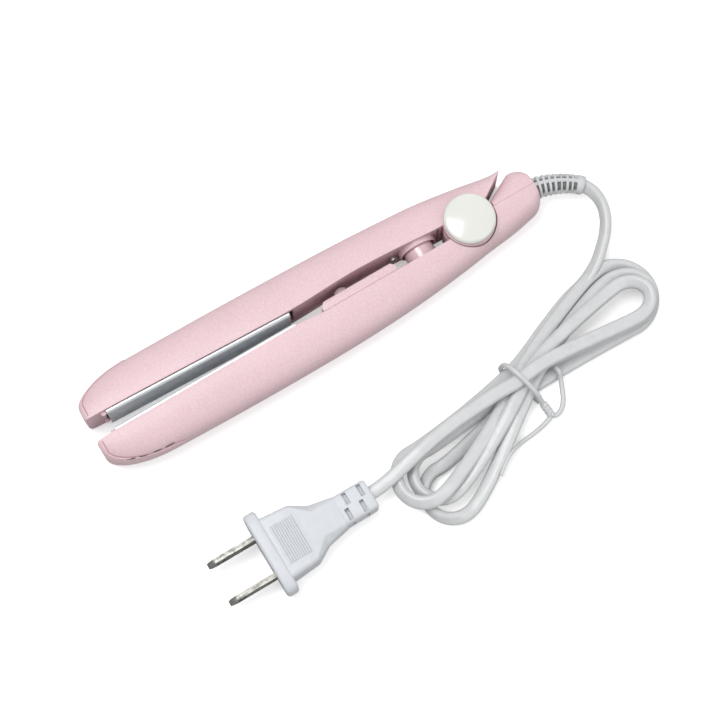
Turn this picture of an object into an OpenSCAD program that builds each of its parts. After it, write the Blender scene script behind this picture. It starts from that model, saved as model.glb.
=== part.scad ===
// Mini hair straightener with a tied-up flat cord and a two-blade plug.
// It lies on its side. The origin is the foot of the hinge axis, on the surface.
// +X runs along the arms to the cord, +Y points to the swing arm, +Z runs up the hinge axis.

/* [Arms] */
// Height of both arms, from one flat side to the other
arm_height = 15.5; // [14.5:0.5:20]
// Distance from the hinge axis to the tips
tip_reach = 131; // [125:1:165]
// Distance from the hinge axis to the rear end of the hub
hub_reach = 20.8; // [18:0.2:26]
// Greatest depth of the main arm, from the meeting plane to its back
main_belly = 12.6; // [11.5:0.1:16]
// Greatest depth of the swing arm, from the meeting plane to its back
swing_belly = 13.9; // [12.5:0.1:17]
// Wall of both casings
wall = 1.6; // [1.2:0.1:2]
// Length of the rounded corner at the tips
corner_length = 19; // [14:0.5:24]
// Angle between the arms as they lie, opened by the spring
rest_open = 2; // [1:0.5:4]

/* [Hair plates] */
// Length of the hair plates
plate_length = 62; // [50:1:70]
// Width of the hair plates, across the arms
plate_width = 13.6; // [12:0.2:14.4]
// Distance from the tips to the front end of the plates
plate_setback = 7; // [5:0.5:10]
// Thickness of the plate's face flange
plate_flange = 1; // [0.8:0.1:1.5]
// Gap between the plate faces when the arms are closed
closed_gap = 0.3; // [0.3:0.1:1]

/* [Hinge] */
// Radius of the ears on the swing arm, and of the drum between them
hinge_radius = 8.2; // [7.5:0.1:9]
// Diameter of the hinge pin
pin_diameter = 3; // [2.4:0.1:4]
// Diameter of the round caps on the two ends of the hinge
cap_diameter = 15.6; // [13:0.2:16]
// Height of the domed cap above the ears
cap_height = 2.8; // [2:0.1:4]
// Thickness of the ear on the domed cap's side
top_ear = 3.25; // [2.5:0.05:4]
// Thickness of the ear on the flat cap's side
foot_ear = 1.75; // [1.2:0.05:2.5]

/* [Spring post] */
// Distance from the hinge axis to the spring post
post_reach = 17; // [16.5:0.5:20]
// Diameter of the spring post
post_diameter = 9.6; // [8:0.2:10.4]
// Wall of the collar that the post dips into
collar_wall = 0.6; // [0.5:0.1:0.8]
// Diameter of the spring wire
spring_wire = 0.7; // [0.5:0.1:1]

/* [Deck and lens] */
// Height of the raised deck at its front end, above the meeting plane
deck_rise = 2.4; // [1:0.1:2.6]
// Diameter of the indicator lens
lens_diameter = 4.9; // [4:0.1:6]
// Height of the lens dome
lens_dome = 2.2; // [1:0.1:2.6]

/* [Cord and plug] */
// Diameter of the plain tube that stands for the flat cord
cord_diameter = 3.8; // [3:0.2:4]
// Height of the tied hank
hank_height = 10.5; // [8:0.5:14]
// Width of the plug's flange
plug_width = 27; // [24:0.5:32]
// Thickness of the plug's flange
flange_thickness = 4; // [3:0.5:6]
// Length of the plug behind its flange, without the neck
plug_body_length = 22; // [18:0.5:28]
// Length of the plug's neck
plug_neck_length = 10.6; // [8:0.5:14]
// Distance between the centres of the blades
blade_pitch = 12.7; // [12.7]
// Length of the blades in front of the flange
blade_length = 15.9; // [15.9:0.1:18]

/* [Hidden] */
$fn = 64;

// Clearances
part_gap = 0.3;      // between pieces that move past each other
seat_gap = 0.15;     // between pieces that sit in one another
running_gap = 0.05;  // round the hinge pin

mid_z = arm_height / 2;
plate_front = plate_setback - tip_reach;
plate_rear = plate_front + plate_length;
tip_wall = 2.2;
arc_power = 2 / 2.6;
arc_steps = 12;
shell_colour = [0.93, 0.81, 0.83];
cord_colour = [0.80, 0.82, 0.82];
tray_colour = [0.35, 0.30, 0.30];

function smooth(t) = let (u = max(0, min(1, t))) u * u * (3 - 2 * u);
function signed_power(v, p) = sign(v) * pow(abs(v), p);
function quarter(t) = 1 - sqrt(1 - t * t);
function spread(a, b, count) = [for (i = [0 : count]) a + (b - a) * i / count];

// Outline of the arms ------------------------------------------------------

// Share of the tip's rounding that is reached at x, from 0 to 1
function tip_share(x) = max(0, min(1, (corner_length - tip_reach - x) / corner_length));
corner_drop = 7;
nose_drop = 1.4;

main_belly_x = plate_rear - 2;
main_front_fall = 0.9;
main_rear = 5.8;
main_rear_x = 16.5;
function main_outer(x) =
    let (front = (main_belly_x - x) / (tip_reach + main_belly_x - corner_length))
    let (rear = (x - main_belly_x) / (main_rear_x - main_belly_x))
    main_belly - (x < main_belly_x ? main_front_fall * front * front
        : (main_belly - main_rear) * pow(rear, 2.3)) - corner_drop * quarter(tip_share(x));

swing_belly_x = -45;
swing_front_fall = 1.1;
swing_rear = 9.9;
fin_reach = 13.9;
function swing_outer(x) =
    let (front = (swing_belly_x - x) / (tip_reach + swing_belly_x - corner_length))
    let (rear = (x - swing_belly_x) / (fin_reach - swing_belly_x))
    swing_belly - (x < swing_belly_x ? swing_front_fall * front * front
        : (swing_belly - swing_rear) * pow(rear, 2.3)) - corner_drop * quarter(tip_share(x));

function half_height(x) = mid_z - nose_drop * quarter(tip_share(x));

// Edge of the casings on the meeting side, as a distance from the meeting plane
edge = 1.4;
deck_edge = 2.1;
spring_edge = 0.35 * main_belly;
deck_front = plate_rear + 9.3;
deck_rear = -post_reach - 9.6;
function main_inner(x) = edge + (deck_edge - edge) * smooth((x - deck_front + 8) / 7)
    + (spring_edge - deck_edge) * smooth((x - deck_rear) / 7) - spring_edge * smooth((x + 6) / 12);

swing_recess = 3;
swing_hinge_edge = 0.3;
slot_root = 2.9;
slot_slope = 0.86;
function swing_inner(x) = edge + (swing_recess - edge) * smooth((x - deck_front + 22) / 22)
    - (swing_recess - swing_hinge_edge) * smooth((x + 42) / 28) + slot_slope * max(0, x - slot_root);

// Hub behind the hinge: the half on the swing arm's side bulges, then rounds off to the end
hub_start = max(hinge_radius, cap_diameter / 2) + 2 * part_gap;
hub_bulge = 7.15;
hub_bulge_x = hub_reach - 5.5;
hub_slope = 0.57;
hub_round = 6.2;
function hub_share(x) = max(0, (x - hub_bulge_x) / hub_round);
function hub_round_off(x) = pow(1 - pow(hub_share(x), 2.6), arc_power / 2);
function hub_outer(x) = x < hub_bulge_x ? hub_bulge - hub_slope * (hub_bulge_x - x)
    : hub_bulge * hub_round_off(x);
function hub_height(x) = mid_z - 1.6 * (1 - hub_round_off(x));

// One arm or half hub as a loft. Each row is [x, inner edge, outer edge, half height, hollow],
// and hollow is 1 where the casing is an open channel and 0 where it is filled.
function half_ring(x, base, depth, half) = [for (i = [0 : arc_steps])
    let (a = 180 * i / arc_steps - 90)
    [x, base + depth * pow(max(0, cos(a)), arc_power), mid_z + half * signed_power(sin(a), arc_power)]];
function reversed(list) = [for (i = [len(list) - 1 : -1 : 0]) list[i]];
function ring(row) = concat(
    half_ring(row[0], row[1], row[2] - row[1], row[3]),
    reversed(half_ring(row[0], row[1], (row[2] - row[1] - wall) * row[4], row[3] - wall)));

module loft(rows) {
    ring_size = 2 * (arc_steps + 1);
    last = len(rows) - 1;
    points = [for (row = rows) each ring(row)];
    sides = [for (r = [0 : last - 1], k = [0 : ring_size - 1])
        let (n = (k + 1) % ring_size, a = r * ring_size + k, b = r * ring_size + n)
        each [[a, b + ring_size, b], [a, a + ring_size, b + ring_size]]];
    // Strips from the outer arc to the inner one, cut along the diagonal that keeps them from lying flat
    function strip(a, b, c, d, lower) = lower ? [[a, b, d], [b, c, d]] : [[a, b, c], [a, c, d]];
    function cap(base, flip) = [for (k = [0 : arc_steps - 1])
        let (a = base + k, b = a + 1, c = base + ring_size - 2 - k, d = c + 1)
        for (face = strip(a, b, c, d, k < arc_steps / 2)) flip ? face : reversed(face)];
    faces = concat(sides, cap(0, true), cap(last * ring_size, false));
    polyhedron(points = points, faces = faces, convexity = 6);
}

step = 0.05;
tip_stations = [for (a = [90 : -15 : 15]) -tip_reach + corner_length * (1 - sin(a))];
cavity_front = tip_wall - tip_reach;
cavity_rear = -hinge_radius - 1;

function arm_hollow(x) = x > cavity_front + step / 2 && x < cavity_rear - step / 2 ? 1 : 0;
function arm_stations(rear_list) = concat(
    [for (x = tip_stations) if (x < cavity_front) x],
    [cavity_front, cavity_front + step],
    [for (x = tip_stations) if (x > cavity_front + step) x],
    spread(corner_length - tip_reach, deck_front - 8, 6),
    [deck_front - 5, deck_front - 2],
    spread(deck_front, deck_rear, 4),
    [deck_rear + 2.4, deck_rear + 4.8, -post_reach - 1, -13, cavity_rear - step, cavity_rear],
    rear_list);

// Main arm ----------------------------------------------------------------

cap_recess = 1.5;
ear_space = 0.7;
drum_bottom = cap_recess + foot_ear + ear_space;
drum_top = arm_height - top_ear - ear_space;
drum_wall = 1.2;
pin_boss = 3.3;
ear_clear_radius = hinge_radius + part_gap;
cap_clear_radius = max(ear_clear_radius, cap_diameter / 2 + part_gap);
hub_cavity_front = hub_start + 1.2;
hub_cavity_rear = hub_reach - wall;
tunnel_width = 4.6;
tunnel_top = 3.7;
tunnel_bottom = 6.6;

function hub_hollow(x) = x > hub_cavity_front + step / 2 && x < hub_cavity_rear - step / 2 ? 1 : 0;
hub_stations = [hub_cavity_front, hub_cavity_front + step, 12.5, hub_bulge_x, hub_bulge_x + 1.3,
    hub_bulge_x + 2.6, hub_cavity_rear - step, hub_cavity_rear, hub_reach - 0.8, hub_reach];

main_rows = [for (x = arm_stations(concat([-6, -3, 0, 3, 6, hub_start], hub_stations)))
    let (round_off = x > hub_bulge_x ? hub_round_off(x) : 1)
    [x, main_inner(x), main_inner(x) + (main_outer(x) - main_inner(x)) * round_off,
        x > hub_bulge_x ? hub_height(x) : half_height(x), x < 0 ? arm_hollow(x) : hub_hollow(x)]];

// Screws: places along the arm, and the edge that each cover or saddle is sunk from
boss_radius = 2.1;
front_screw_x = deck_front - 4;
main_screw_x = [front_screw_x, deck_rear + 2.6];
main_screw_edge = [main_inner(front_screw_x), spring_edge];
swing_screw_x = [front_screw_x, deck_rear + 1.4];
swing_screw_edge = [for (x = swing_screw_x) swing_inner(x)];
screw_radius = 0.75;
head_radius = 1.5;
head_height = 0.9;
cover_sink = 0.4;
cover_thickness = 1.4;
cover_half = mid_z - wall - seat_gap;

module along_y(x, y, z) {
    translate([x, y, z]) rotate([-90, 0, 0]) children();
}

// Boss from the back of a casing up to the underside of its cover
module screw_boss(x, inner, outer) {
    foot = inner + cover_sink + cover_thickness + part_gap;
    along_y(x, foot, mid_z) cylinder(r = boss_radius, h = outer - wall / 2 - foot);
}

module screw_bore(x, inner, outer) {
    along_y(x, inner, mid_z) cylinder(r = screw_radius + running_gap, h = outer - wall - inner);
}

module end_lip(x) {
    translate([x, edge - 0.9, mid_z - plate_width / 2 + 1]) cube([1.2, 2, plate_width - 2]);
}

relief_y = 0.5;
relief_z = mid_z;
relief_base = 3.2;
relief_flange = 4;
relief_flange_depth = 2.4;

module relief_hole() {
    translate([hub_cavity_rear - 1, relief_y, relief_z]) rotate([0, 90, 0])
        cylinder(r = relief_base + seat_gap, h = wall + 3);
}

module main_shell() color(shell_colour) {
    difference() {
        union() {
            mirror([0, 1, 0]) {
                loft(main_rows);
                end_lip(plate_front - 1.5);
                for (i = [0, 1])
                    screw_boss(main_screw_x[i], main_screw_edge[i], main_outer(main_screw_x[i]));
            }
            translate([0, 0, drum_bottom]) cylinder(r = hinge_radius, h = drum_top - drum_bottom);
        }
        for (z = [-1, drum_top]) translate([0, 0, z])
            cylinder(r = ear_clear_radius, h = z < 0 ? drum_bottom + 1 : arm_height);
        translate([0, 0, -1]) cylinder(r = cap_clear_radius, h = 1 + cap_recess);
        difference() {
            translate([0, 0, drum_bottom + drum_wall])
                cylinder(r = hinge_radius - drum_wall, h = drum_top - drum_bottom - 2 * drum_wall);
            cylinder(r = pin_boss, h = arm_height);
        }
        cylinder(r = pin_diameter / 2 + running_gap, h = arm_height);
        translate([cavity_rear - 1, -tunnel_bottom, mid_z - tunnel_width / 2])
            cube([hub_cavity_front - cavity_rear + 2, tunnel_bottom - tunnel_top, tunnel_width]);
        mirror([0, 1, 0]) for (i = [0, 1])
            screw_bore(main_screw_x[i], main_screw_edge[i], main_outer(main_screw_x[i]));
        relief_hole();
    }
}

// Flat strip that closes an arm between two places, with its face sunk below the casing's edge
module cover_strip(x_list, y_list) {
    count = len(x_list) - 1;
    top = [for (i = [0 : count]) [x_list[i], y_list[i] + cover_sink]];
    bottom = [for (i = [count : -1 : 0]) [x_list[i], y_list[i] + cover_sink + cover_thickness]];
    translate([0, 0, mid_z - cover_half]) linear_extrude(2 * cover_half) polygon(concat(top, bottom));
}

module cover_screw_hole(x, inner) {
    along_y(x, inner - 1, mid_z)
        cylinder(r = screw_radius + running_gap, h = 2 + cover_sink + cover_thickness);
    along_y(x, inner + cover_sink - 1, mid_z)
        cylinder(r = head_radius + running_gap, h = 1 + head_height);
}

deck_slope = -0.12;
deck_inset = 0.4;
deck_wall = 1.3;
function deck_top(x) = deck_rise + deck_slope * (x - deck_front);

module deck_block(front, rear, foot, skin) {
    polygon([[front, foot], [front, deck_top(front) - 0.6 - skin], [front + 0.6, deck_top(front) - skin],
        [rear - 0.6, deck_top(rear) - skin], [rear, deck_top(rear) - 0.3 - skin], [rear, foot]]);
}

main_cover_x = concat([plate_rear + 1.6, deck_front - 5, deck_front - 2],
    spread(deck_front, deck_rear, 4), [deck_rear + 1.4]);

module main_cover() color(shell_colour) {
    difference() {
        union() {
            mirror([0, 1, 0]) cover_strip(main_cover_x, [for (x = main_cover_x) main_inner(x)]);
            translate([0, 0, deck_inset]) linear_extrude(arm_height - 2 * deck_inset)
                deck_block(deck_front, deck_rear, -deck_edge + running_gap, 0);
            translate([0, 0, mid_z - cover_half]) linear_extrude(2 * cover_half)
                deck_block(deck_front, deck_rear, -deck_edge - cover_sink - cover_thickness / 2, deck_wall);
        }
        translate([0, 0, mid_z - cover_half + 1.2]) linear_extrude(2 * cover_half - 2.4)
            deck_block(deck_front + deck_wall, deck_rear - deck_wall, -deck_edge - 3, deck_wall);
        along_y(lens_x, -2, lens_z) cylinder(d = lens_diameter + 2 * running_gap, h = 8);
        mirror([0, 1, 0]) cover_screw_hole(main_screw_x[0], main_screw_edge[0]);
    }
}

hub_rows = [for (x = concat([hub_start], hub_stations))
    [x, running_gap, hub_outer(x), hub_height(x), hub_hollow(x)]];

module hub_cover() color(shell_colour) {
    difference() {
        loft(hub_rows);
        relief_hole();
    }
}

// Hair plate stack, built on the swing arm's side and mirrored for the main arm
stem_half = 3.9;
stem_depth = 1.75;
heater_thickness = 1;
sheet_thickness = 0.4;
tray_floor = 1;
tray_half = 5;
face_y = closed_gap / 2;
flange_y = face_y + plate_flange;
stem_y = flange_y + stem_depth;
heater_y = stem_y + heater_thickness;
tray_y = heater_y + sheet_thickness;
tray_front = plate_front + 1.5;
tray_rear = plate_rear - 1.5;
plate_bevel = 0.5;

module plate_profile() {
    half = plate_width / 2;
    polygon([[face_y, -half + plate_bevel], [face_y, half - plate_bevel], [face_y + plate_bevel, half],
        [flange_y, half], [flange_y, stem_half], [stem_y, stem_half], [stem_y, -stem_half],
        [flange_y, -stem_half], [flange_y, -half], [face_y + plate_bevel, -half]]);
}

module lengthwise(front, rear) {
    translate([front, 0, mid_z]) rotate([90, 0, 90]) linear_extrude(rear - front) children();
}

module heat_plate() {
    intersection() {
        lengthwise(plate_front, plate_rear) plate_profile();
        union() {
            translate([tray_front + 1.5, face_y, 0]) cube([tray_rear - tray_front - 3, 10, arm_height]);
            translate([plate_front, 0, 0]) cube([plate_length, flange_y, arm_height]);
        }
    }
}

module heater_bar() {
    translate([tray_front + 3, stem_y, mid_z - stem_half + 0.4])
        cube([tray_rear - tray_front - 6, heater_thickness, 2 * stem_half - 0.8]);
}

module insulation_sheet() {
    translate([tray_front + 1.2, heater_y, mid_z - stem_half])
        cube([tray_rear - tray_front - 2.4, sheet_thickness, 2 * stem_half]);
}

module plate_tray() {
    difference() {
        translate([tray_front, flange_y + seat_gap, mid_z - tray_half])
            cube([tray_rear - tray_front, tray_y + tray_floor - flange_y - seat_gap, 2 * tray_half]);
        translate([tray_front + 1.1, 0, mid_z - stem_half - seat_gap])
            cube([tray_rear - tray_front - 2.2, tray_y, 2 * (stem_half + seat_gap)]);
    }
}

module main_side() {
    mirror([0, 1, 0]) children();
}

module swing_side() {
    rotate([0, 0, -rest_open]) children();
}

module main_plate_carrier() color(tray_colour) { main_side() plate_tray(); }
module main_insulation() color("tan") { main_side() insulation_sheet(); }
module main_heater() color("ivory") { main_side() heater_bar(); }
module main_heat_plate() color("silver") { main_side() heat_plate(); }

module screw(x, inner, outer) {
    along_y(x, inner + cover_sink, mid_z) difference() {
        union() {
            cylinder(r = screw_radius, h = outer - wall - inner - cover_sink - seat_gap);
            cylinder(r = head_radius, h = head_height - seat_gap);
        }
        cylinder(r = 0.6, h = 0.5, $fn = 6);
    }
}

module main_screws() color("dimgray") {
    main_side() for (i = [0, 1]) screw(main_screw_x[i], main_screw_edge[i], main_outer(main_screw_x[i]));
}

// Electronics in the main arm
lens_x = deck_front + 8.2;
lens_z = mid_z + 1.2;
board_y = -5.6;
board_thickness = 1;
board_front = deck_front + 1;
board_rear = deck_rear - 1;

module control_board() color("darkgreen") {
    translate([board_front, board_y, mid_z - 4.5])
        cube([board_rear - board_front, board_thickness, 9]);
}

module board_parts() color("peru") {
    parts_y = board_y + board_thickness;
    along_y(lens_x, parts_y, lens_z) cylinder(d = 3, h = 3.2);
    translate([lens_x + 4, parts_y + 1, mid_z - 2.5]) rotate([0, 90, 0]) cylinder(d = 2, h = 6);
    translate([lens_x + 4, parts_y, mid_z + 0.8]) cube([5, 1.4, 2.4]);
    translate([lens_x + 11, parts_y, mid_z - 2]) cube([3, 1.2, 4]);
}

module indicator_lens() color([0.95, 0.93, 0.92, 0.8]) {
    radius = lens_diameter / 2;
    seat = deck_top(lens_x) - deck_wall - 0.4;
    rise = deck_top(lens_x) - seat;
    along_y(lens_x, seat, lens_z) rotate_extrude() polygon(concat(
        [[0, -0.8], [radius + 0.8, -0.8], [radius + 0.8, 0], [radius, 0]],
        [for (a = [0 : 9 : 90]) [radius * cos(a), rise + lens_dome * sin(a)]]));
}

module thermal_fuse() color("gainsboro") {
    radius = 1.2;
    translate([deck_front, wall + 0.5 + radius - main_outer(deck_front), mid_z])
        rotate([0, 90, 0]) cylinder(r = radius, h = 7);
}

module cord_clamp() color("white") {
    translate([hub_cavity_front + 2, -2.4, mid_z - 4]) cube([3, 2, 8]);
}

// Tube swept along a list of points with plain rings; each ring lies across the path
function unit(v) = v / norm(v);
function tangent(p, i) = unit(p[min(i + 1, len(p) - 1)] - p[max(i - 1, 0)]);
function side_of(t) = unit(cross(t, abs(t[2]) > 0.9 ? [0, 1, 0] : [0, 0, 1]));
module tube(path, radius, sides) {
    last = len(path) - 1;
    points = [for (i = [0 : last]) let (t = tangent(path, i), s = side_of(t), u = cross(s, t))
        for (k = [0 : sides - 1]) let (a = 360 * k / sides)
        path[i] + radius * (cos(a) * s + sin(a) * u)];
    walls = [for (i = [0 : last - 1], k = [0 : sides - 1])
        let (n = (k + 1) % sides, a = i * sides + k, b = i * sides + n)
        each [[a, b + sides, a + sides], [a, b, b + sides]]];
    ends = [[for (k = [sides - 1 : -1 : 0]) k], [for (k = [0 : sides - 1]) last * sides + k]];
    polyhedron(points = points, faces = concat(walls, ends), convexity = 8);
}

// Wires run close together through the drum, and pass the post and the bosses on both sides
wire_radius = 0.5;
drum_spread = 0.8;
arm_spread = 3.2;
under_board = board_y - wire_radius - 0.2;
function along_back(x) = [x, wall + 1.1 - main_outer(x), 1];
supply_path = [[hub_cavity_front + 1.6, -4, 0], [8, -5.2, 0], [-8, -5.4, 0],
    along_back(cavity_rear - 2), along_back(-13), along_back(-post_reach), along_back(deck_rear + 4),
    [deck_rear, -7.4, 1], [board_rear - 2, under_board, 1]];
heater_path = [[board_front + 2, under_board, 1], [board_front - 3, under_board, 1],
    [plate_rear + 3, -5, 1], [tray_rear + 0.6, -4.2, 1]];
function one_wire(path, side) = [for (p = path)
    [p[0], p[1], mid_z + side * (drum_spread + (arm_spread - drum_spread) * p[2])]];

module main_wires() color("firebrick") {
    for (side = [-1, 1]) {
        tube(one_wire(supply_path, side), wire_radius, 8);
        tube(one_wire(heater_path, side), wire_radius, 8);
    }
}

// Spring between the arms
post_top = 2;
post_floor = wall + 1.9 - main_outer(-post_reach);
spring_seat = post_floor + 1;
spring_radius = 2.9;
spring_turns = 7;
spring_bore = spring_radius + spring_wire / 2 + part_gap;
collar_rim = -0.8;
collar_end = 4;
collar_clearance = 0.6;
collar_radius = post_diameter / 2 + collar_clearance + collar_wall;
saddle_rear = min(-post_reach + 6.8, cavity_rear - part_gap);
saddle_half = cover_half - 0.5;
collar_edge = 1.4;

// Base plate of the post or collar
module saddle(front, inner) {
    translate([front, inner + cover_sink, mid_z - saddle_half])
        cube([saddle_rear - front, cover_thickness, 2 * saddle_half]);
}

module spring_post() color(shell_colour) {
    difference() {
        union() {
            along_y(-post_reach, post_floor, mid_z)
                cylinder(r = spring_bore + 0.8, h = post_top - post_floor);
            along_y(-post_reach, -spring_edge - cover_sink - 0.5, mid_z)
                cylinder(d = post_diameter, h = post_top + spring_edge + cover_sink + 0.5);
            main_side() saddle(deck_rear + 0.9, spring_edge);
        }
        along_y(-post_reach, spring_seat, mid_z) cylinder(r = spring_bore, h = post_top - spring_seat + 1);
        main_side() cover_screw_hole(main_screw_x[1], main_screw_edge[1]);
    }
}

module opening_spring() color("lightsteelblue") {
    steps = 12;
    base = spring_seat + spring_wire / 2 + running_gap;
    rise = collar_end - 1 + post_reach * sin(rest_open) - spring_wire - 2 * running_gap - spring_seat;
    tube([for (i = [0 : spring_turns * steps])
        [-post_reach + spring_radius * cos(360 * i / steps),
            base + rise * i / (spring_turns * steps),
            mid_z + spring_radius * sin(360 * i / steps)]], spring_wire / 2, 6);
}

// Hinge
cap_seat = arm_height + part_gap;
foot_cap_thickness = cap_recess - part_gap;
pin_foot = 0.5;
pin_head = cap_seat + 1.2;

module hinge_pin() color("silver") {
    translate([0, 0, pin_foot]) cylinder(d = pin_diameter, h = pin_head - pin_foot);
}

module hinge_washers() color("gainsboro") {
    thickness = 0.4;
    for (z = [drum_bottom - thickness, drum_top]) translate([0, 0, z]) difference() {
        cylinder(r = 4.5, h = thickness);
        translate([0, 0, -1]) cylinder(d = pin_diameter + 2 * running_gap, h = 3);
    }
}

module hinge_cap() color("whitesmoke") {
    radius = cap_diameter / 2;
    round_edge = 1.1;
    crown = 0.7;
    shoulder = cap_height - crown - round_edge;
    translate([0, 0, cap_seat]) difference() {
        rotate_extrude($fn = 96) polygon(concat([[0, 0], [radius - 0.3, 0], [radius, 0.3]],
            [for (a = [0 : 15 : 75])
                [radius - round_edge * (1 - cos(a)), shoulder + round_edge * sin(a)]],
            [for (i = [4 : -1 : 0]) let (r = (radius - round_edge) * i / 4)
                [r, shoulder + round_edge + crown * (1 - pow(r / (radius - round_edge), 2))]]));
        translate([0, 0, -1]) cylinder(d = pin_diameter + 2 * running_gap, h = pin_head - cap_seat + 1.1);
    }
}

module hinge_foot_cap() color("whitesmoke") {
    difference() {
        cylinder(d = cap_diameter, h = foot_cap_thickness);
        translate([0, 0, pin_foot - 0.1]) cylinder(d = pin_diameter + 2 * running_gap, h = 3);
    }
}

// Swing arm ---------------------------------------------------------------

swing_rows = [for (x = arm_stations([-6, -3, 0, slot_root, 6, 8.5, 11, fin_reach]))
    [x, swing_inner(x), max(swing_outer(x), swing_inner(x) + 0.4), half_height(x), arm_hollow(x)]];

module swing_shell() color(shell_colour) swing_side() {
    difference() {
        union() {
            loft(swing_rows);
            end_lip(plate_front - 1.5);
            for (i = [0, 1]) screw_boss(swing_screw_x[i], swing_screw_edge[i], swing_outer(swing_screw_x[i]));
            translate([0, 0, cap_recess]) cylinder(r = hinge_radius, h = foot_ear);
            translate([0, 0, arm_height - top_ear]) cylinder(r = hinge_radius, h = top_ear);
        }
        translate([0, 0, cap_recess + foot_ear])
            cylinder(r = ear_clear_radius, h = arm_height - top_ear - foot_ear - cap_recess);
        translate([0, 0, -1]) cylinder(d = cap_diameter + 2 * part_gap, h = 1 + cap_recess);
        cylinder(r = pin_diameter / 2 + running_gap, h = arm_height + 1);
        for (i = [0, 1]) screw_bore(swing_screw_x[i], swing_screw_edge[i], swing_outer(swing_screw_x[i]));
        along_y(-post_reach, collar_rim, mid_z)
            cylinder(r = collar_radius + 2 * running_gap, h = collar_end + part_gap - collar_rim);
    }
}

swing_cover_x = concat([plate_rear + 1.6, deck_front - 5, deck_front - 2],
    spread(deck_front, deck_rear, 4), [deck_rear + 2.4]);

module swing_cover() color(shell_colour) swing_side() {
    difference() {
        cover_strip(swing_cover_x, [for (x = swing_cover_x) swing_inner(x)]);
        along_y(lens_x, 0, lens_z) cylinder(d = lens_diameter + 3 * part_gap + 1, h = 8);
        for (i = [0, 1]) cover_screw_hole(swing_screw_x[i], swing_screw_edge[i]);
    }
}

module swing_plate_carrier() color(tray_colour) swing_side() plate_tray();
module swing_insulation() color("tan") swing_side() insulation_sheet();
module swing_heater() color("ivory") swing_side() heater_bar();
module swing_heat_plate() color("silver") swing_side() heat_plate();

module spring_collar() color(shell_colour) swing_side() {
    difference() {
        union() {
            along_y(-post_reach, collar_rim, mid_z)
                cylinder(r = collar_radius, h = collar_end - collar_rim);
            saddle(deck_rear + 3.2, collar_edge);
        }
        along_y(-post_reach, collar_rim - 1, mid_z)
            cylinder(d = post_diameter + 2 * collar_clearance, h = collar_end - collar_rim);
    }
}

module swing_screws() color("dimgray") swing_side() {
    for (i = [0, 1]) screw(swing_screw_x[i], swing_screw_edge[i], swing_outer(swing_screw_x[i]));
}

swing_wire_path = [[cavity_rear - 2, 7, 1], [-post_reach, 6.4, 1], [deck_rear, 7, 1],
    [deck_front, 7.5, 1], [plate_rear + 3, 6, 1], [tray_rear + 0.6, 4.2, 1]];

module swing_wires() color("firebrick") swing_side() {
    for (side = [-1, 1]) tube(one_wire(swing_wire_path, side), wire_radius, 8);
}

// Cord --------------------------------------------------------------------

// Path of the strain relief: distance past the hub, y, and drop below the arms' middle
relief_tip = 2.7;
relief_points = [[-0.2, 0.5, 0], [3.4, 0.2, 0], [6.8, -0.7, 0], [10.2, -2.1, 0], [13.4, -3.9, 0.1],
    [16, -5.8, 0.25]];
relief_path = [for (p = relief_points) [hub_reach + p[0], p[1], relief_z - p[2]]];

module strain_relief() color(cord_colour) {
    tube(relief_path, (relief_base + relief_tip) / 2, 12);
    translate([hub_cavity_rear - relief_flange_depth, relief_y, relief_z]) rotate([0, 90, 0]) {
        cylinder(r = relief_flange, h = 1);
        cylinder(r = relief_base, h = wall + relief_flange_depth + 0.3);
    }
}

// Route of the cord from the strain relief to the hank. Each row is [distance past the hub, y,
// height as a share of the arms' middle], and the far end stays at the hank when the hub moves.
lead_route = [[16, -5.8, 0.968], [17.8, -8, 0.94], [18.9, -11, 0.9], [19, -14.5, 0.84],
    [17.8, -18.5, 0.75], [15.2, -22.5, 0.645], [11.7, -26, 0.54], [7.7, -29.3, 0.44], [4.2, -31.5, 0.387]];
lead_end_hub = 20.8;
lead_last = len(lead_route) - 1;
lead_points = [for (i = [0 : lead_last]) let (p = lead_route[i])
    [p[0] + hub_reach + (lead_end_hub - hub_reach) * i / lead_last, p[1], p[2] * relief_z]];

module cord_lead() color(cord_colour) tube(lead_points, cord_diameter / 2, 8);
module cord_tail() color(cord_colour) tube(tail_points, cord_diameter / 2, 8);

module cord_hank() color(cord_colour) {
    linear_extrude(hank_height) {
        hull() {
            translate([-12, -50.5]) circle(r = 6.8, $fn = 32);
            translate([-52.5, -59.5]) circle(r = 7.6, $fn = 32);
            translate([-47.5, -69.2]) circle(r = 7.2, $fn = 32);
        }
        hull() {
            translate([-12, -50.5]) circle(r = 6.8, $fn = 32);
            translate([28.8, -42.6]) circle(r = 11.6, $fn = 32);
        }
    }
}

tie_radius = 0.65;
tie_top = hank_height + tie_radius + 0.15;
tie_middle = hank_height * 0.57;
tie_band = [[-14, -42.4, 0.8], [-13.8, -42.2, tie_middle], [-13.4, -43.2, tie_top - 0.4],
    [-12.2, -47, tie_top], [-11, -52, tie_top], [-10, -56.6, tie_top - 0.5], [-9.6, -58.6, tie_middle],
    [-9.4, -60.2, 4.4], [-10.6, -62.8, 3], [-15.7, -64.6, 2], [-21.4, -65.6, 1.5], [-26.4, -68, 1.1],
    [-32.4, -71.6, 0.9]];
tie_loop = [[-7.6, -62.8, 2.4], [-5.4, -62.2, 2], [-3, -60.6, 1.6], [-1, -58.6, 1.4]];

module twist_tie() color("white") {
    tube(tie_band, tie_radius, 8);
    tube(tie_loop, tie_radius, 8);
}

// Plug --------------------------------------------------------------------

plug_y = -55.8;
plug_z = 6.5;
plug_front = -105.2;
flange_height = 13;
flange_round = 3;
plug_body_start = plug_front + flange_thickness;
plug_neck_start = plug_body_start + plug_body_length;
plug_end = plug_neck_start + plug_neck_length;
neck_half = 4.9;
neck_half_height = 4.6;

// Outline of the plug's body: [share of its length, half width as a share of the flange]
plug_outline = [[0, 0.378], [0.36, 0.348], [0.52, 0.281]];
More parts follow.
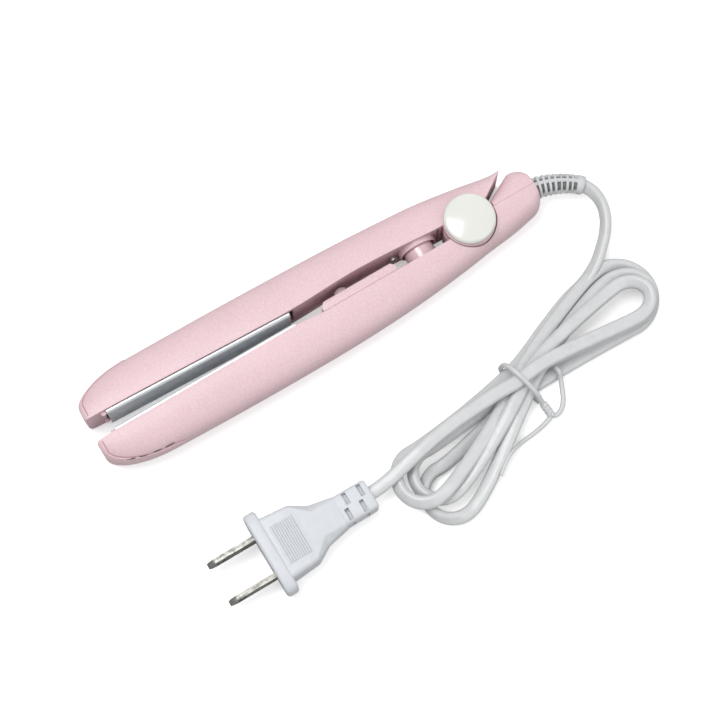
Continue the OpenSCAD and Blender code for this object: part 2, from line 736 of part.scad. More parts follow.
// Side view of the plug's body: [share of its length, half height as a share of the flange]
plug_profile = [[0, 0.446], [0.36, 0.431], [0.59, 0.377]];

module plug_section(rows, size, last_half) {
    upper = concat([for (row = rows) [row[0] * plug_body_length, row[1] * size]],
        [[plug_body_length + 0.1, last_half]]);
    polygon(concat(upper, [for (i = [len(upper) - 1 : -1 : 0]) [upper[i][0], -upper[i][1]]]));
}

module flange_outline() {
    polygon([for (corner = [0 : 3], a = [0 : 15 : 90])
        let (x_side = corner == 0 || corner == 3 ? 1 : -1, y_side = corner < 2 ? 1 : -1)
        [x_side * (plug_width / 2 - flange_round) + flange_round * cos(90 * corner + a),
            y_side * (flange_height / 2 - flange_round) + flange_round * sin(90 * corner + a)]]);
}

slot_width = 1.3;
slot_pitch = 5;
slot_web = 1.4;
neck_rail = 1.2;

module neck_slots() {
    for (i = [0, 1], side = [-1, 1])
        translate([plug_neck_start + slot_width + i * slot_pitch + (side > 0 ? 1.6 : 0),
            side > 0 ? slot_web : neck_rail - neck_half, -plug_z])
            cube([slot_width, side > 0 ? neck_half - slot_web + 1 : neck_half - neck_rail - slot_web,
                2 * plug_z]);
}

grip_count = 9;
grip_pitch = 0.9;
grip_width = 0.45;
grip_depth = 0.25;

module grip_grooves() {
    for (i = [0 : grip_count - 1], side = [-1, 1])
        translate([plug_body_start + 2.2 + grip_pitch * i, 0, side * flange_height / 2 * 0.86])
            cube([grip_width, plug_width / 2, 2 * grip_depth], center = true);
}

module plug_body() color([0.87, 0.88, 0.90]) translate([0, plug_y, plug_z]) {
    difference() {
        union() {
            translate([plug_front, 0, 0]) rotate([90, 0, 90]) linear_extrude(flange_thickness)
                flange_outline();
            intersection() {
                translate([plug_body_start - 0.1, 0, -plug_z]) linear_extrude(2 * plug_z)
                    plug_section(plug_outline, plug_width, neck_half);
                translate([plug_body_start - 0.1, plug_width / 2, 0]) rotate([90, 0, 0])
                    linear_extrude(plug_width) plug_section(plug_profile, flange_height, neck_half_height);
            }
            translate([plug_neck_start, -neck_half, -neck_half_height])
                cube([plug_neck_length, 2 * neck_half, 2 * neck_half_height]);
        }
        neck_slots();
        grip_grooves();
    }
}

blade_width = 6.35;
blade_thickness = 1.5;
blade_hole = 3.2;
blade_hole_inset = 4.1;

module blade_outline() {
    difference() {
        union() {
            translate([blade_width / 2 - blade_length, -blade_width / 2])
                square([blade_length - blade_width / 2, blade_width]);
            translate([blade_width / 2 - blade_length, 0]) circle(d = blade_width);
        }
        translate([blade_hole_inset - blade_length, 0]) circle(d = blade_hole);
    }
}

module plug_blades() color("silver") {
    for (side = [-1, 1])
        translate([plug_front, plug_y + side * blade_pitch / 2 + blade_thickness / 2, plug_z])
            rotate([90, 0, 0]) linear_extrude(blade_thickness) blade_outline();
}

// Route of the cord from the hank to the plug's neck
tail_start = [-56, -54.6, 8];
tail_end = [plug_end - 0.4, plug_y + 0.4, plug_z];
tail_points = [for (i = [0 : 4]) let (share = i / 4)
    [tail_start[0] + (tail_end[0] - tail_start[0]) * share,
        tail_start[1] + (tail_end[1] - tail_start[1]) * share,
        tail_start[2] + (tail_end[2] - tail_start[2]) * smooth(share)]];

main_shell();
main_cover();
hub_cover();
main_plate_carrier();
main_insulation();
main_heater();
main_heat_plate();
main_screws();
control_board();
board_parts();
indicator_lens();
thermal_fuse();
cord_clamp();
main_wires();
spring_post();
opening_spring();
hinge_pin();
hinge_washers();
hinge_cap();
hinge_foot_cap();
swing_shell();
swing_cover();
swing_plate_carrier();
swing_insulation();
swing_heater();
swing_heat_plate();
spring_collar();
swing_screws();
swing_wires();
strain_relief();
cord_lead();
cord_hank();
cord_tail();
twist_tie();
plug_body();
plug_blades();
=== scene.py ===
"""Mini hair straightener with a tied-up flat cord and a two-blade plug, laid out as an add-on."""
import math

import bmesh
import bpy
from mathutils import Matrix, Vector


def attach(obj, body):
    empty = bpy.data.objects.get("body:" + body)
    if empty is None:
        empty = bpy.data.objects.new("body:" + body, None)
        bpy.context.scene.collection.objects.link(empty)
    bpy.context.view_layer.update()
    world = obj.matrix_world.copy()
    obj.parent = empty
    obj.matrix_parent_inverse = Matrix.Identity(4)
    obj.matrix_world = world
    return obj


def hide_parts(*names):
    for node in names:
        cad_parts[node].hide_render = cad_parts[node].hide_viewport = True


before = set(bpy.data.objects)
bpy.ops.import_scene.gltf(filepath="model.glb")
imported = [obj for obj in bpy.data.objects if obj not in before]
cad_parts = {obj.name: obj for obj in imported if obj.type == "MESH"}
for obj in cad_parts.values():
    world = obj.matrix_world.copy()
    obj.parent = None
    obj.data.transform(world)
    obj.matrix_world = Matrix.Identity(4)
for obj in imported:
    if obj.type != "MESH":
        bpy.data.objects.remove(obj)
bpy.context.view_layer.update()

bl_info = {
    "name": "Mini Hair Straightener",
    "version": (1, 0, 0),
    "blender": (4, 5, 0),
    "location": "View3D > Sidebar > Straightener",
    "description": "Builds a mini hair straightener, its tied cord and plug over the packed frame",
    "category": "Object",
}

MM = 0.001


# Sizes and colours ------------------------------------------------------------------------------

def length_setting(name, description, default):
    """A size in metres, shown in the scene's length unit."""
    return bpy.props.FloatProperty(
        name=name, description=description, default=default, min=0.0, unit="LENGTH", precision=5)


def colour_setting(name, description, default):
    """A linear colour."""
    return bpy.props.FloatVectorProperty(
        name=name, description=description, default=default, size=3, min=0.0, max=1.0, subtype="COLOR")


class StraightenerSizes(bpy.types.PropertyGroup):
    """Sizes of the cord, its ties and the small details"""
    cord_width: length_setting("Cord width", "Width of the flat cord", 0.0043)
    cord_thickness: length_setting("Cord thickness", "Thickness of the flat cord", 0.0029)
    tie_radius: length_setting("Tie radius", "Radius of the twist tie's coated wire", 0.00076)
    seam_radius: length_setting("Seam radius", "Radius of the line along the tips", 0.00016)
    rim_bevel: length_setting("Rim bevel", "Rounding of the casings' edges", 0.00035)
    floor_size: length_setting("Floor size", "Side of the square floor", 6.0)


class StraightenerColours(bpy.types.PropertyGroup):
    """Base colours of the finishes"""
    shell: colour_setting("Shell", "Satin pink of the casings", (0.80, 0.585, 0.620))
    # Deeper pink: the colour of the parting lines, and painted shade mixed into the inner walls
    shell_seam_and_inner_shade: colour_setting("Shell shade", "Deeper pink of the inner walls and lines", (0.52, 0.30, 0.34))
    button: colour_setting("Button", "Warm white of the round cap", (0.77, 0.785, 0.73))
    cord: colour_setting("Cord", "Pale grey of the cord and strain relief", (0.64, 0.655, 0.66))
    plug: colour_setting("Plug", "Cool white of the plug", (0.67, 0.695, 0.73))
    plate: colour_setting("Plate", "Grey coating on the hair plates", (0.80, 0.83, 0.86))
    plate_edge: colour_setting("Plate edge", "Bright metal at the plates' edges", (0.72, 0.75, 0.77))
    blade: colour_setting("Blade", "Worn nickel of the blades", (0.36, 0.355, 0.33))
    floor: colour_setting("Floor", "Pale floor", (0.93, 0.93, 0.93))


def sizes():
    """The sizes as they are set in the scene."""
    return bpy.context.scene.straightener_sizes


def colours():
    """The colours as they are set in the scene."""
    return bpy.context.scene.straightener_colours


# Shader groups ----------------------------------------------------------------------------------

def group_shell(name, inputs, outputs):
    """An empty shader group with named sockets, and its input and output nodes."""
    tree = bpy.data.node_groups.new(name, "ShaderNodeTree")
    for label, kind, value in inputs:
        socket = tree.interface.new_socket(name=label, in_out="INPUT", socket_type=kind)
        socket.default_value = value
    for label, kind in outputs:
        tree.interface.new_socket(name=label, in_out="OUTPUT", socket_type=kind)
    return tree, tree.nodes.new("NodeGroupInput"), tree.nodes.new("NodeGroupOutput")


def noise_node(tree, detail, roughness):
    """A Noise Texture node."""
    node = tree.nodes.new("ShaderNodeTexNoise")
    node.inputs["Detail"].default_value = detail
    node.inputs["Roughness"].default_value = roughness
    return node


def math_node(tree, operation, first, second):
    """A Math node; each input is a socket or a number."""
    node = tree.nodes.new("ShaderNodeMath")
    node.operation = operation
    for index, value in enumerate((first, second)):
        if isinstance(value, (int, float)):
            node.inputs[index].default_value = value
        else:
            tree.links.new(value, node.inputs[index])
    return node.outputs[0]


def map_range(tree, value, from_min, from_max, to_min, to_max):
    """A Map Range node; each limit is a socket or a number."""
    node = tree.nodes.new("ShaderNodeMapRange")
    tree.links.new(value, node.inputs["Value"])
    limits = {"From Min": from_min, "From Max": from_max, "To Min": to_min, "To Max": to_max}
    for label, number in limits.items():
        if isinstance(number, (int, float)):
            node.inputs[label].default_value = number
        else:
            tree.links.new(number, node.inputs[label])
    return node.outputs["Result"]


def mix_colour(tree, factor, first, second):
    """Mixes two colours; each is a socket or a linear colour."""
    node = tree.nodes.new("ShaderNodeMix")
    node.data_type = "RGBA"
    tree.links.new(factor, node.inputs["Factor"])
    for label, value in (("A", first), ("B", second)):
        socket = [s for s in node.inputs if s.name == label and s.type == "RGBA"][0]
        if isinstance(value, bpy.types.NodeSocket):
            tree.links.new(value, socket)
        else:
            socket.default_value = (*value, 1.0)
    return [s for s in node.outputs if s.type == "RGBA"][0]


def build_moulded_grain():
    """Fine moulded texture: a soft pearl mottle in the colour, and a grain for the bump."""
    tree, start, end = group_shell(
        "Moulded grain",
        [("Light", "NodeSocketColor", (0.8, 0.8, 0.8, 1)), ("Deep", "NodeSocketColor", (0.6, 0.6, 0.6, 1)),
         ("Grain Scale", "NodeSocketFloat", 1500.0), ("Mottle", "NodeSocketFloat", 0.4),
         ("Roughness Low", "NodeSocketFloat", 0.35), ("Roughness High", "NodeSocketFloat", 0.5)],
        [("Color", "NodeSocketColor"), ("Roughness", "NodeSocketFloat"), ("Height", "NodeSocketFloat")])
    place = tree.nodes.new("ShaderNodeTexCoord")
    fine = noise_node(tree, 2.0, 0.55)
    broad = noise_node(tree, 3.0, 0.5)
    middle = noise_node(tree, 2.0, 0.6)
    broad.inputs["Scale"].default_value = 60.0
    for node in (fine, broad, middle):
        tree.links.new(place.outputs["Object"], node.inputs["Vector"])
    tree.links.new(start.outputs["Grain Scale"], fine.inputs["Scale"])
    tree.links.new(math_node(tree, "MULTIPLY", start.outputs["Grain Scale"], 0.35), middle.inputs["Scale"])
    speckle = map_range(tree, middle.outputs["Fac"], 0.35, 0.68, 0.0, 1.0)
    drift = map_range(tree, broad.outputs["Fac"], 0.3, 0.7, 0.0, 0.2)
    total = math_node(tree, "ADD", math_node(tree, "MULTIPLY", speckle, 0.8), drift)
    factor = math_node(tree, "MULTIPLY", total, start.outputs["Mottle"])
    blend = mix_colour(tree, factor, start.outputs["Light"], start.outputs["Deep"])
    tree.links.new(blend, end.inputs["Color"])
    tree.links.new(map_range(tree, fine.outputs["Fac"], 0.3, 0.7, start.outputs["Roughness Low"],
                             start.outputs["Roughness High"]), end.inputs["Roughness"])
    tree.links.new(math_node(tree, "ADD", fine.outputs["Fac"],
                             math_node(tree, "MULTIPLY", middle.outputs["Fac"], 0.8)), end.inputs["Height"])
    return tree


def build_drawn_metal():
    """Long fine scratches along X, with blotches of tarnish."""
    tree, start, end = group_shell(
        "Drawn metal",
        [("Clean", "NodeSocketColor", (0.6, 0.6, 0.6, 1)), ("Tarnish", "NodeSocketColor", (0.3, 0.3, 0.3, 1)),
         ("Tarnish Amount", "NodeSocketFloat", 0.4), ("Stretch", "NodeSocketFloat", 12.0),
         ("Roughness Low", "NodeSocketFloat", 0.22), ("Roughness High", "NodeSocketFloat", 0.45)],
        [("Color", "NodeSocketColor"), ("Roughness", "NodeSocketFloat"), ("Height", "NodeSocketFloat")])
    place = tree.nodes.new("ShaderNodeTexCoord")
    stretch = tree.nodes.new("ShaderNodeVectorMath")
    stretch.operation = "MULTIPLY"
    spread = tree.nodes.new("ShaderNodeCombineXYZ")
    spread.inputs["X"].default_value = 60.0
    for axis in ("Y", "Z"):
        tree.links.new(math_node(tree, "MULTIPLY", start.outputs["Stretch"], 120.0), spread.inputs[axis])
    tree.links.new(place.outputs["Object"], stretch.inputs[0])
    tree.links.new(spread.outputs["Vector"], stretch.inputs[1])
    lines = noise_node(tree, 3.0, 0.6)
    lines.inputs["Scale"].default_value = 1.0
    tree.links.new(stretch.outputs["Vector"], lines.inputs["Vector"])
    blotch = noise_node(tree, 4.0, 0.65)
    blotch.inputs["Scale"].default_value = 420.0
    tree.links.new(place.outputs["Object"], blotch.inputs["Vector"])
    mask = map_range(tree, blotch.outputs["Fac"], 0.45, 0.65, 0.0, 1.0)
    streak = map_range(tree, lines.outputs["Fac"], 0.35, 0.7, 0.0, 0.6)
    worn = math_node(tree, "ADD", mask, streak)
    factor = math_node(tree, "MULTIPLY", worn, start.outputs["Tarnish Amount"])
    blend = mix_colour(tree, factor, start.outputs["Clean"], start.outputs["Tarnish"])
    tree.links.new(blend, end.inputs["Color"])
    tree.links.new(map_range(tree, lines.outputs["Fac"], 0.3, 0.7, start.outputs["Roughness Low"],
                             start.outputs["Roughness High"]), end.inputs["Roughness"])
    tree.links.new(lines.outputs["Fac"], end.inputs["Height"])
    return tree


def shader_group(name):
    """The named shader group, built the first time it is asked for."""
    builders = {"Moulded grain": build_moulded_grain, "Drawn metal": build_drawn_metal}
    return bpy.data.node_groups.get(name) or builders[name]()


# Materials --------------------------------------------------------------------------------------

def blank_material(name):
    """A node material with its Principled shader."""
    material = bpy.data.materials.new(name)
    material.use_nodes = True
    return material, material.node_tree, material.node_tree.nodes["Principled BSDF"]


def group_node(tree, name, values):
    """A node that uses a shader group, with a number or a linear colour at each named input."""
    node = tree.nodes.new("ShaderNodeGroup")
    node.node_tree = shader_group(name)
    for label, value in values.items():
        node.inputs[label].default_value = value if isinstance(value, float) else (*value, 1.0)
    return node


def bump_into(tree, height, shader, strength, distance):
    bump = tree.nodes.new("ShaderNodeBump")
    bump.inputs["Strength"].default_value = strength
    bump.inputs["Distance"].default_value = distance
    tree.links.new(height, bump.inputs["Height"])
    tree.links.new(bump.outputs["Normal"], shader.inputs["Normal"])


def moulded(name, light, deep, grain=1500.0, mottle=0.4, rough=(0.35, 0.5), bump=0.15, coat=0.0,
            under=0.0):
    """Moulded plastic or rubber with a grain."""
    found = bpy.data.materials.get(name)
    if found:
        return found
    material, tree, shader = blank_material(name)
    group = group_node(tree, "Moulded grain", {
        "Light": light, "Deep": deep, "Grain Scale": grain, "Mottle": mottle,
        "Roughness Low": rough[0], "Roughness High": rough[1]})
    tree.links.new(group.outputs["Color"], shader.inputs["Base Color"])
    tree.links.new(group.outputs["Roughness"], shader.inputs["Roughness"])
    bump_into(tree, group.outputs["Height"], shader, bump, 0.00008)
    shader.inputs["Coat Weight"].default_value = coat
    shader.inputs["Coat Roughness"].default_value = 0.12
    if under:
        shader.inputs["Subsurface Weight"].default_value = under
        shader.inputs["Subsurface Radius"].default_value = (0.0016, 0.0011, 0.0010)
        shader.inputs["Subsurface Scale"].default_value = 0.6
    return material


def metal(name, clean, tarnish, amount=0.35, stretch=12.0, rough=(0.22, 0.42), bump=0.1):
    """Drawn or plated metal with scratches."""
    material, tree, shader = blank_material(name)
    group = group_node(tree, "Drawn metal", {
        "Clean": clean, "Tarnish": tarnish, "Tarnish Amount": amount, "Stretch": stretch,
        "Roughness Low": rough[0], "Roughness High": rough[1]})
    tree.links.new(group.outputs["Color"], shader.inputs["Base Color"])
    tree.links.new(group.outputs["Roughness"], shader.inputs["Roughness"])
    bump_into(tree, group.outputs["Height"], shader, bump, 0.00005)
    shader.inputs["Metallic"].default_value = 1.0
    return material


def shade(colour, share):
    """A colour darkened to a share of itself."""
    return tuple(value * share for value in colour)


def shell_finish():
    c = colours()
    return moulded("satin pink plastic", c.shell, shade(c.shell, 0.8), grain=5200.0, mottle=0.75,
                   rough=(0.36, 0.52), bump=0.22, coat=0.06, under=0.08)


# Inner walls: the shell's pink mottled towards the deeper pink, as painted shade for the gap between the arms
def inner_wall_shade_finish():
    c = colours()
    return moulded("inner pink painted shade", c.shell, c.shell_seam_and_inner_shade, grain=1300.0, mottle=0.5,
                   rough=(0.45, 0.6), bump=0.12)


def seam_finish():
    c = colours()
    return moulded("pink parting line", c.shell_seam_and_inner_shade, shade(c.shell_seam_and_inner_shade, 0.7), grain=1300.0,
                   rough=(0.5, 0.65))


# The shell's pink lightened: a painted highlight on the lips round the tips and on the plate lip pads
def lip_highlight_finish():
    c = colours()
    return moulded("pink lip painted highlight", tuple(min(1.0, v * 1.08) for v in c.shell), c.shell, grain=1300.0,
                   rough=(0.3, 0.42), coat=0.2)


def cord_finish():
    c = colours()
    return moulded("pale cord sleeve", c.cord, shade(c.cord, 0.84), grain=900.0, mottle=0.5,
                   rough=(0.3, 0.44), bump=0.08, coat=0.25)


def relief_finish():
    c = colours()
    return moulded("pale strain relief", c.cord, shade(c.cord, 0.78), grain=1000.0, mottle=0.5,
                   rough=(0.38, 0.52), bump=0.12)


# The relief's pale grey darkened to about a third: painted shade in the slots between the ribs
def relief_core_shade_finish():
    c = colours()
    return moulded("relief core painted shade", shade(c.cord, 0.36), shade(c.cord, 0.22), grain=1000.0,
                   rough=(0.5, 0.65))


def plug_finish():
    c = colours()
    return moulded("cool white plug plastic", c.plug, shade(c.plug, 0.88), grain=1300.0, mottle=0.5,
                   rough=(0.4, 0.55), bump=0.16, under=0.05)


def button_finish():
    c = colours()
    return moulded("warm white gloss plastic", c.button, shade(c.button, 0.93), grain=500.0, mottle=0.35,
                   rough=(0.14, 0.22), bump=0.02, coat=0.25, under=0.04)


def tie_finish():
    c = colours()
    return moulded("coated tie wire", c.cord, shade(c.cord, 0.82), grain=1100.0, rough=(0.35, 0.5), coat=0.1)


def blade_finish():
    c = colours()
    return metal("worn nickel", c.blade, shade(c.blade, 0.3), amount=0.65, stretch=9.0,
                 rough=(0.28, 0.5), bump=0.5)


def plate_finish():
    """Grey coating on the plate's face, and bright metal on its edges."""
    c = colours()
    material, tree, shader = blank_material("coated hair plate")
    group = group_node(tree, "Drawn metal", {
        "Clean": c.plate, "Tarnish": shade(c.plate, 0.72), "Tarnish Amount": 0.5, "Stretch": 5.0})
    place = tree.nodes.new("ShaderNodeTexCoord")
    axes = tree.nodes.new("ShaderNodeSeparateXYZ")
    tree.links.new(place.outputs["Normal"], axes.inputs["Vector"])
    facing = math_node(tree, "ABSOLUTE", axes.outputs["Y"], 0.0)
    mask = map_range(tree, facing, 0.78, 0.9, 0.0, 1.0)
    face_colour = mix_colour(tree, mask, tuple(c.plate_edge), group.outputs["Color"])
    tree.links.new(face_colour, shader.inputs["Base Color"])
    tree.links.new(map_range(tree, mask, 0.0, 1.0, 0.3, 0.36), shader.inputs["Roughness"])
    tree.links.new(map_range(tree, mask, 0.0, 1.0, 0.3, 0.34), shader.inputs["Metallic"])
    bump_into(tree, group.outputs["Height"], shader, 0.12, 0.00004)
    return material


def floor_finish():
    """Pale matte floor, lit evenly like a light table, that throws little light back up."""
    material, tree, shader = blank_material("pale floor")
    pale = colours().floor
    group = group_node(tree, "Moulded grain", {"Light": pale, "Deep": shade(pale, 0.99), "Grain Scale": 80.0})
    rays = tree.nodes.new("ShaderNodeLightPath")
    sight = rays.outputs["Is Camera Ray"]
    surface = mix_colour(tree, sight, (0.50, 0.50, 0.50), group.outputs["Color"])
    tree.links.new(surface, shader.inputs["Base Color"])
    glow = mix_colour(tree, sight, (0.0, 0.0, 0.0), (0.40, 0.40, 0.40))
    tree.links.new(glow, shader.inputs["Emission Color"])
    shader.inputs["Emission Strength"].default_value = 1.0
    shader.inputs["Roughness"].default_value = 0.85
    shader.inputs["Specular IOR Level"].default_value = 0.1
    return material


def lens_finish():
    """Milky clear plastic of the indicator."""
    material, tree, shader = blank_material("milky lens")
    group = group_node(tree, "Moulded grain", {
        "Light": (0.80, 0.70, 0.71), "Deep": (0.62, 0.50, 0.52), "Grain Scale": 600.0})
    tree.links.new(group.outputs["Color"], shader.inputs["Base Color"])
    bump_into(tree, group.outputs["Height"], shader, 0.05, 0.00005)
    shader.inputs["Roughness"].default_value = 0.16
    shader.inputs["Transmission Weight"].default_value = 0.35
    shader.inputs["IOR"].default_value = 1.46
    return material


# Mesh tools -------------------------------------------------------------------------------------

def mesh_from(name, points, faces, sharp_degrees=38.0):
    """A smooth-shaded object whose edges above an angle stay sharp. Points are in millimetres."""
    mesh = bpy.data.meshes.new(name)
    mesh.from_pydata([Vector(p) * MM for p in points], [], faces)
    obj = bpy.data.objects.new(name, mesh)
    bpy.context.scene.collection.objects.link(obj)
    work = bmesh.new()
    work.from_mesh(mesh)
    bmesh.ops.remove_doubles(work, verts=work.verts, dist=1e-7)
    bmesh.ops.recalc_face_normals(work, faces=work.faces)
    work.to_mesh(mesh)
    work.free()
    shade_by_angle(mesh, sharp_degrees)
    return obj


def shade_by_angle(mesh, degrees):
    """Smooth faces that meet sharply where they turn by more than an angle."""
    work = bmesh.new()
    work.from_mesh(mesh)
    limit = math.radians(degrees)
    for face in work.faces:
        face.smooth = True
    for edge in work.edges:
        edge.smooth = len(edge.link_faces) != 2 or edge.calc_face_angle(0.0) < limit
    work.to_mesh(mesh)
    work.free()


def bake(obj, degrees=38.0):
    """Applies every modifier into the object's own mesh."""
    bpy.context.view_layer.update()
    graph = bpy.context.evaluated_depsgraph_get()
    mesh = bpy.data.meshes.new_from_object(obj.evaluated_get(graph))
    obj.modifiers.clear()
    old = obj.data
    obj.data = mesh
    bpy.data.meshes.remove(old)
    shade_by_angle(mesh, degrees)
    return obj


def bevel(obj, width, segments=2, degrees=50.0):
    """Rounds an object's edges that turn by more than an angle; the width is in metres."""
    edge = obj.modifiers.new("rounded edges", "BEVEL")
    edge.width = width
    edge.segments = segments
    edge.limit_method = "ANGLE"
    edge.angle_limit = math.radians(degrees)
    edge.harden_normals = False
    return obj


def cut(obj, *cutters):
    """Takes closed shapes out of an object."""
    for cutter in cutters:
        hole = obj.modifiers.new("cut", "BOOLEAN")
        hole.operation = "DIFFERENCE"
        hole.solver = "EXACT"
        hole.object = cutter
    bake(obj)
    for cutter in cutters:
        bpy.data.objects.remove(cutter)
    return obj


def join(name, *objects):
    """One object from several, which are removed. Their materials are not kept."""
    work = bmesh.new()
    for obj in objects:
        work.from_mesh(obj.data)
    mesh = bpy.data.meshes.new(name)
    work.to_mesh(mesh)
    work.free()
    result = bpy.data.objects.new(name, mesh)
    bpy.context.scene.collection.objects.link(result)
    for obj in objects:
        bpy.data.objects.remove(obj)
    return result


def skin(rings):
    """Points and faces of closed rings laid one after another, with both ends filled."""
    count = len(rings[0])
    points = [point for ring in rings for point in ring]
    faces = []
    for row in range(len(rings) - 1):
        for k in range(count):
            n = (k + 1) % count
            a, b = row * count + k, row * count + n
            faces.append((a, b, b + count, a + count))
    faces.append(tuple(range(count - 1, -1, -1)))
    last = (len(rings) - 1) * count
    faces.append(tuple(last + k for k in range(count)))
    return points, faces


def lathe(name, profile, count=96, centre=(0.0, 0.0, 0.0), axis="Z"):
    """Turns a profile of (radius, height) round the Z or Y axis."""
    rings = []
    for radius, height in profile:
        ring = []
        for k in range(count):
            a = 2 * math.pi * k / count
            x, y, z = radius * math.cos(a), radius * math.sin(a), height
            if axis == "Y":
                x, y, z = x, z, y
            ring.append((centre[0] + x, centre[1] + y, centre[2] + z))
        rings.append(ring)
    return mesh_from(name, *skin(rings))


def rod(name, radius, low, high):
    """A plain cylinder round the hinge axis."""
    return lathe(name, [(radius, low), (radius, high)])


def spline(points, spacing):
    """Smooth curve through points of any length: returns rows about one spacing apart."""
    rows = [list(points[0])]
    knots = [0.0]
    for first, second in zip(points, points[1:]):
        knots.append(knots[-1] + max(1e-6, math.dist(first[:3], second[:3])) ** 0.75)
    last = len(points) - 1
    slopes = []
    for i in range(last + 1):
        a, b = max(0, i - 1), min(last, i + 1)
        span = knots[b] - knots[a]
        slopes.append([(q - p) / span for p, q in zip(points[a], points[b])])
        if 0 < i < last:
            before, after = knots[i] - knots[i - 1], knots[i + 1] - knots[i]
            left = [(q - p) / before for p, q in zip(points[i - 1], points[i])]
            right = [(q - p) / after for p, q in zip(points[i], points[i + 1])]
            slopes[i] = [(l * after + r * before) / (before + after) for l, r in zip(left, right)]
    for i in range(last):
        span = knots[i + 1] - knots[i]
        steps = max(2, round(math.dist(points[i][:3], points[i + 1][:3]) / spacing))
        for k in range(1, steps + 1):
            t = k / steps
            h00, h10 = 2 * t ** 3 - 3 * t ** 2 + 1, t ** 3 - 2 * t ** 2 + t
            h01, h11 = -2 * t ** 3 + 3 * t ** 2, t ** 3 - t ** 2
            rows.append([h00 * p + h10 * span * m + h01 * q + h11 * span * n for p, q, m, n in
                         zip(points[i], points[i + 1], slopes[i], slopes[i + 1])])
    return rows


def cross_section(width, thickness, count=20, power=0.8, groove=0.0):
    """Rounded flat section; a groove runs along the middle of both faces."""
    ring = []
    for k in range(count):
        a = 2 * math.pi * k / count
        c, s = math.cos(a), math.sin(a)
        x = math.copysign(abs(c) ** power, c) * width / 2
        y = math.copysign(abs(s) ** power, s) * thickness / 2
        ring.append((x, y * (1 - groove * math.exp(-(x / (0.13 * width)) ** 2))))
    return ring


def sweep(name, path, section, scale=None, rolls=None):
    """Carries a section along a path. Its width lies flat where the roll is 0."""
    rings = []
    last = len(path) - 1
    for i, point in enumerate(path):
        ahead = (Vector(path[min(i + 1, last)][:3]) - Vector(path[max(i - 1, 0)][:3])).normalized()
        side = Vector((0, 0, 1)).cross(ahead)
        side = Vector((1, 0, 0)) if side.length < 0.05 else side.normalized()
        up = ahead.cross(side).normalized()
        roll = math.radians(rolls[i]) if rolls else 0.0
        across = side * math.cos(roll) + up * math.sin(roll)
        over = up * math.cos(roll) - side * math.sin(roll)
        grow = scale[i] if scale else 1.0
        rings.append([Vector(point[:3]) + across * x * grow + over * y * grow for x, y in section])
    return mesh_from(name, *skin(rings))


def finish_piece(obj, body, material, replaced=()):
    """Gives a new piece its finish, its body and the CAD solids that it stands for."""
    obj.data.materials.clear()
    obj.data.materials.append(material)
    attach(obj, body)
    if replaced:
        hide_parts(*replaced)
    return obj


def open_arm(obj):
    """Turns a piece of the swing arm from closed to how it lies at rest."""
    obj.data.transform(Matrix.Rotation(REST_OPEN, 4, "Z"))


def dress(node, material, bevel_width=0.0):
    """Gives a kept CAD node its material, and softened edges."""
    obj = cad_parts[node]
    obj.data.materials.clear()
    obj.data.materials.append(material)
    if bevel_width:
        bevel(obj, bevel_width)
    return obj


# Outline of the arms, in millimetres --------------------------------------------------------------

# Lengths from the hinge axis to the tips and to the end of the hub
TIP_REACH = 131.0
HUB_REACH = 23.4
ARM_HEIGHT = 15.5
MID_Z = ARM_HEIGHT / 2
WALL = 1.6
REST_OPEN = math.radians(-2.0)
# Exponent of the superellipse that both casings follow across the arm
SQUARENESS = 2.6
POWER = 2 / SQUARENESS
# Deepest point of each arm, from the meeting plane, and where it lies
MAIN_BELLY = 14.4
SWING_BELLY = 14.8
SWING_BELLY_X = -45.0
# Rear ends of the two outlines
MAIN_REAR_X = 16.5
FIN_X = 13.9
# Distance of both casings' edges from the meeting plane
EDGE = 1.4
# The rounded corner at the tips, the fall in height there, and the rounding of the nose
CORNER_LENGTH = 19.0
CORNER_DROP = 7.0
NOSE_DROP = 1.4
NOSE_ROUND = 1.3
NOSE_TUCK = 0.8
# The casings are solid ahead of this place
NOSE_SOLID = -124.6
# The hinge: its ears and drum, the clearances cut for them, and the heights of its layers
HINGE_RADIUS = 8.2
EAR_CLEAR = 8.5
FOOT_CAP_CLEAR = 8.1
PIN_CLEAR = 1.55
FOOT_EAR = (1.5, 3.25)
DRUM = (3.95, 11.55)
TOP_EAR = (12.25, ARM_HEIGHT)
# Below and above everything, for cutters that pass right through
BELOW = -2.0
ABOVE = 20.0
# The bulge at the hub's end: its depth, its length, and the slope of the slot ahead of it
HUB_DEPTH = 7.9
HUB_BULGE_X = HUB_REACH - 5.1
HUB_SLOPE = 0.57
DECK_FRONT = -52.7
DECK_REAR = -26.6
PLATE_REAR = -62.0


def smooth(t):
    """Eases from 0 to 1."""
    u = max(0.0, min(1.0, t))
    return u * u * (3 - 2 * u)


def quarter(t):
    """Drop of a quarter circle from its crown, as a share of its radius."""
    return 1 - math.sqrt(max(0.0, 1 - t * t))


def tip_share(x):
    """Share of the rounded corner that has been passed on the way to the tip."""
    return max(0.0, min(1.0, (CORNER_LENGTH - TIP_REACH - x) / CORNER_LENGTH))


def main_outer(x):
    """Depth of the main arm's back from the meeting plane."""
    belly = PLATE_REAR - 2
    if x < belly:
        fall = 0.9 * ((belly - x) / (TIP_REACH + belly - CORNER_LENGTH)) ** 2
    else:
        fall = 7.2 * ((x - belly) / (MAIN_REAR_X - belly)) ** 2.3
    return MAIN_BELLY - fall + 0.6 * smooth(x / 14) - CORNER_DROP * quarter(tip_share(x))


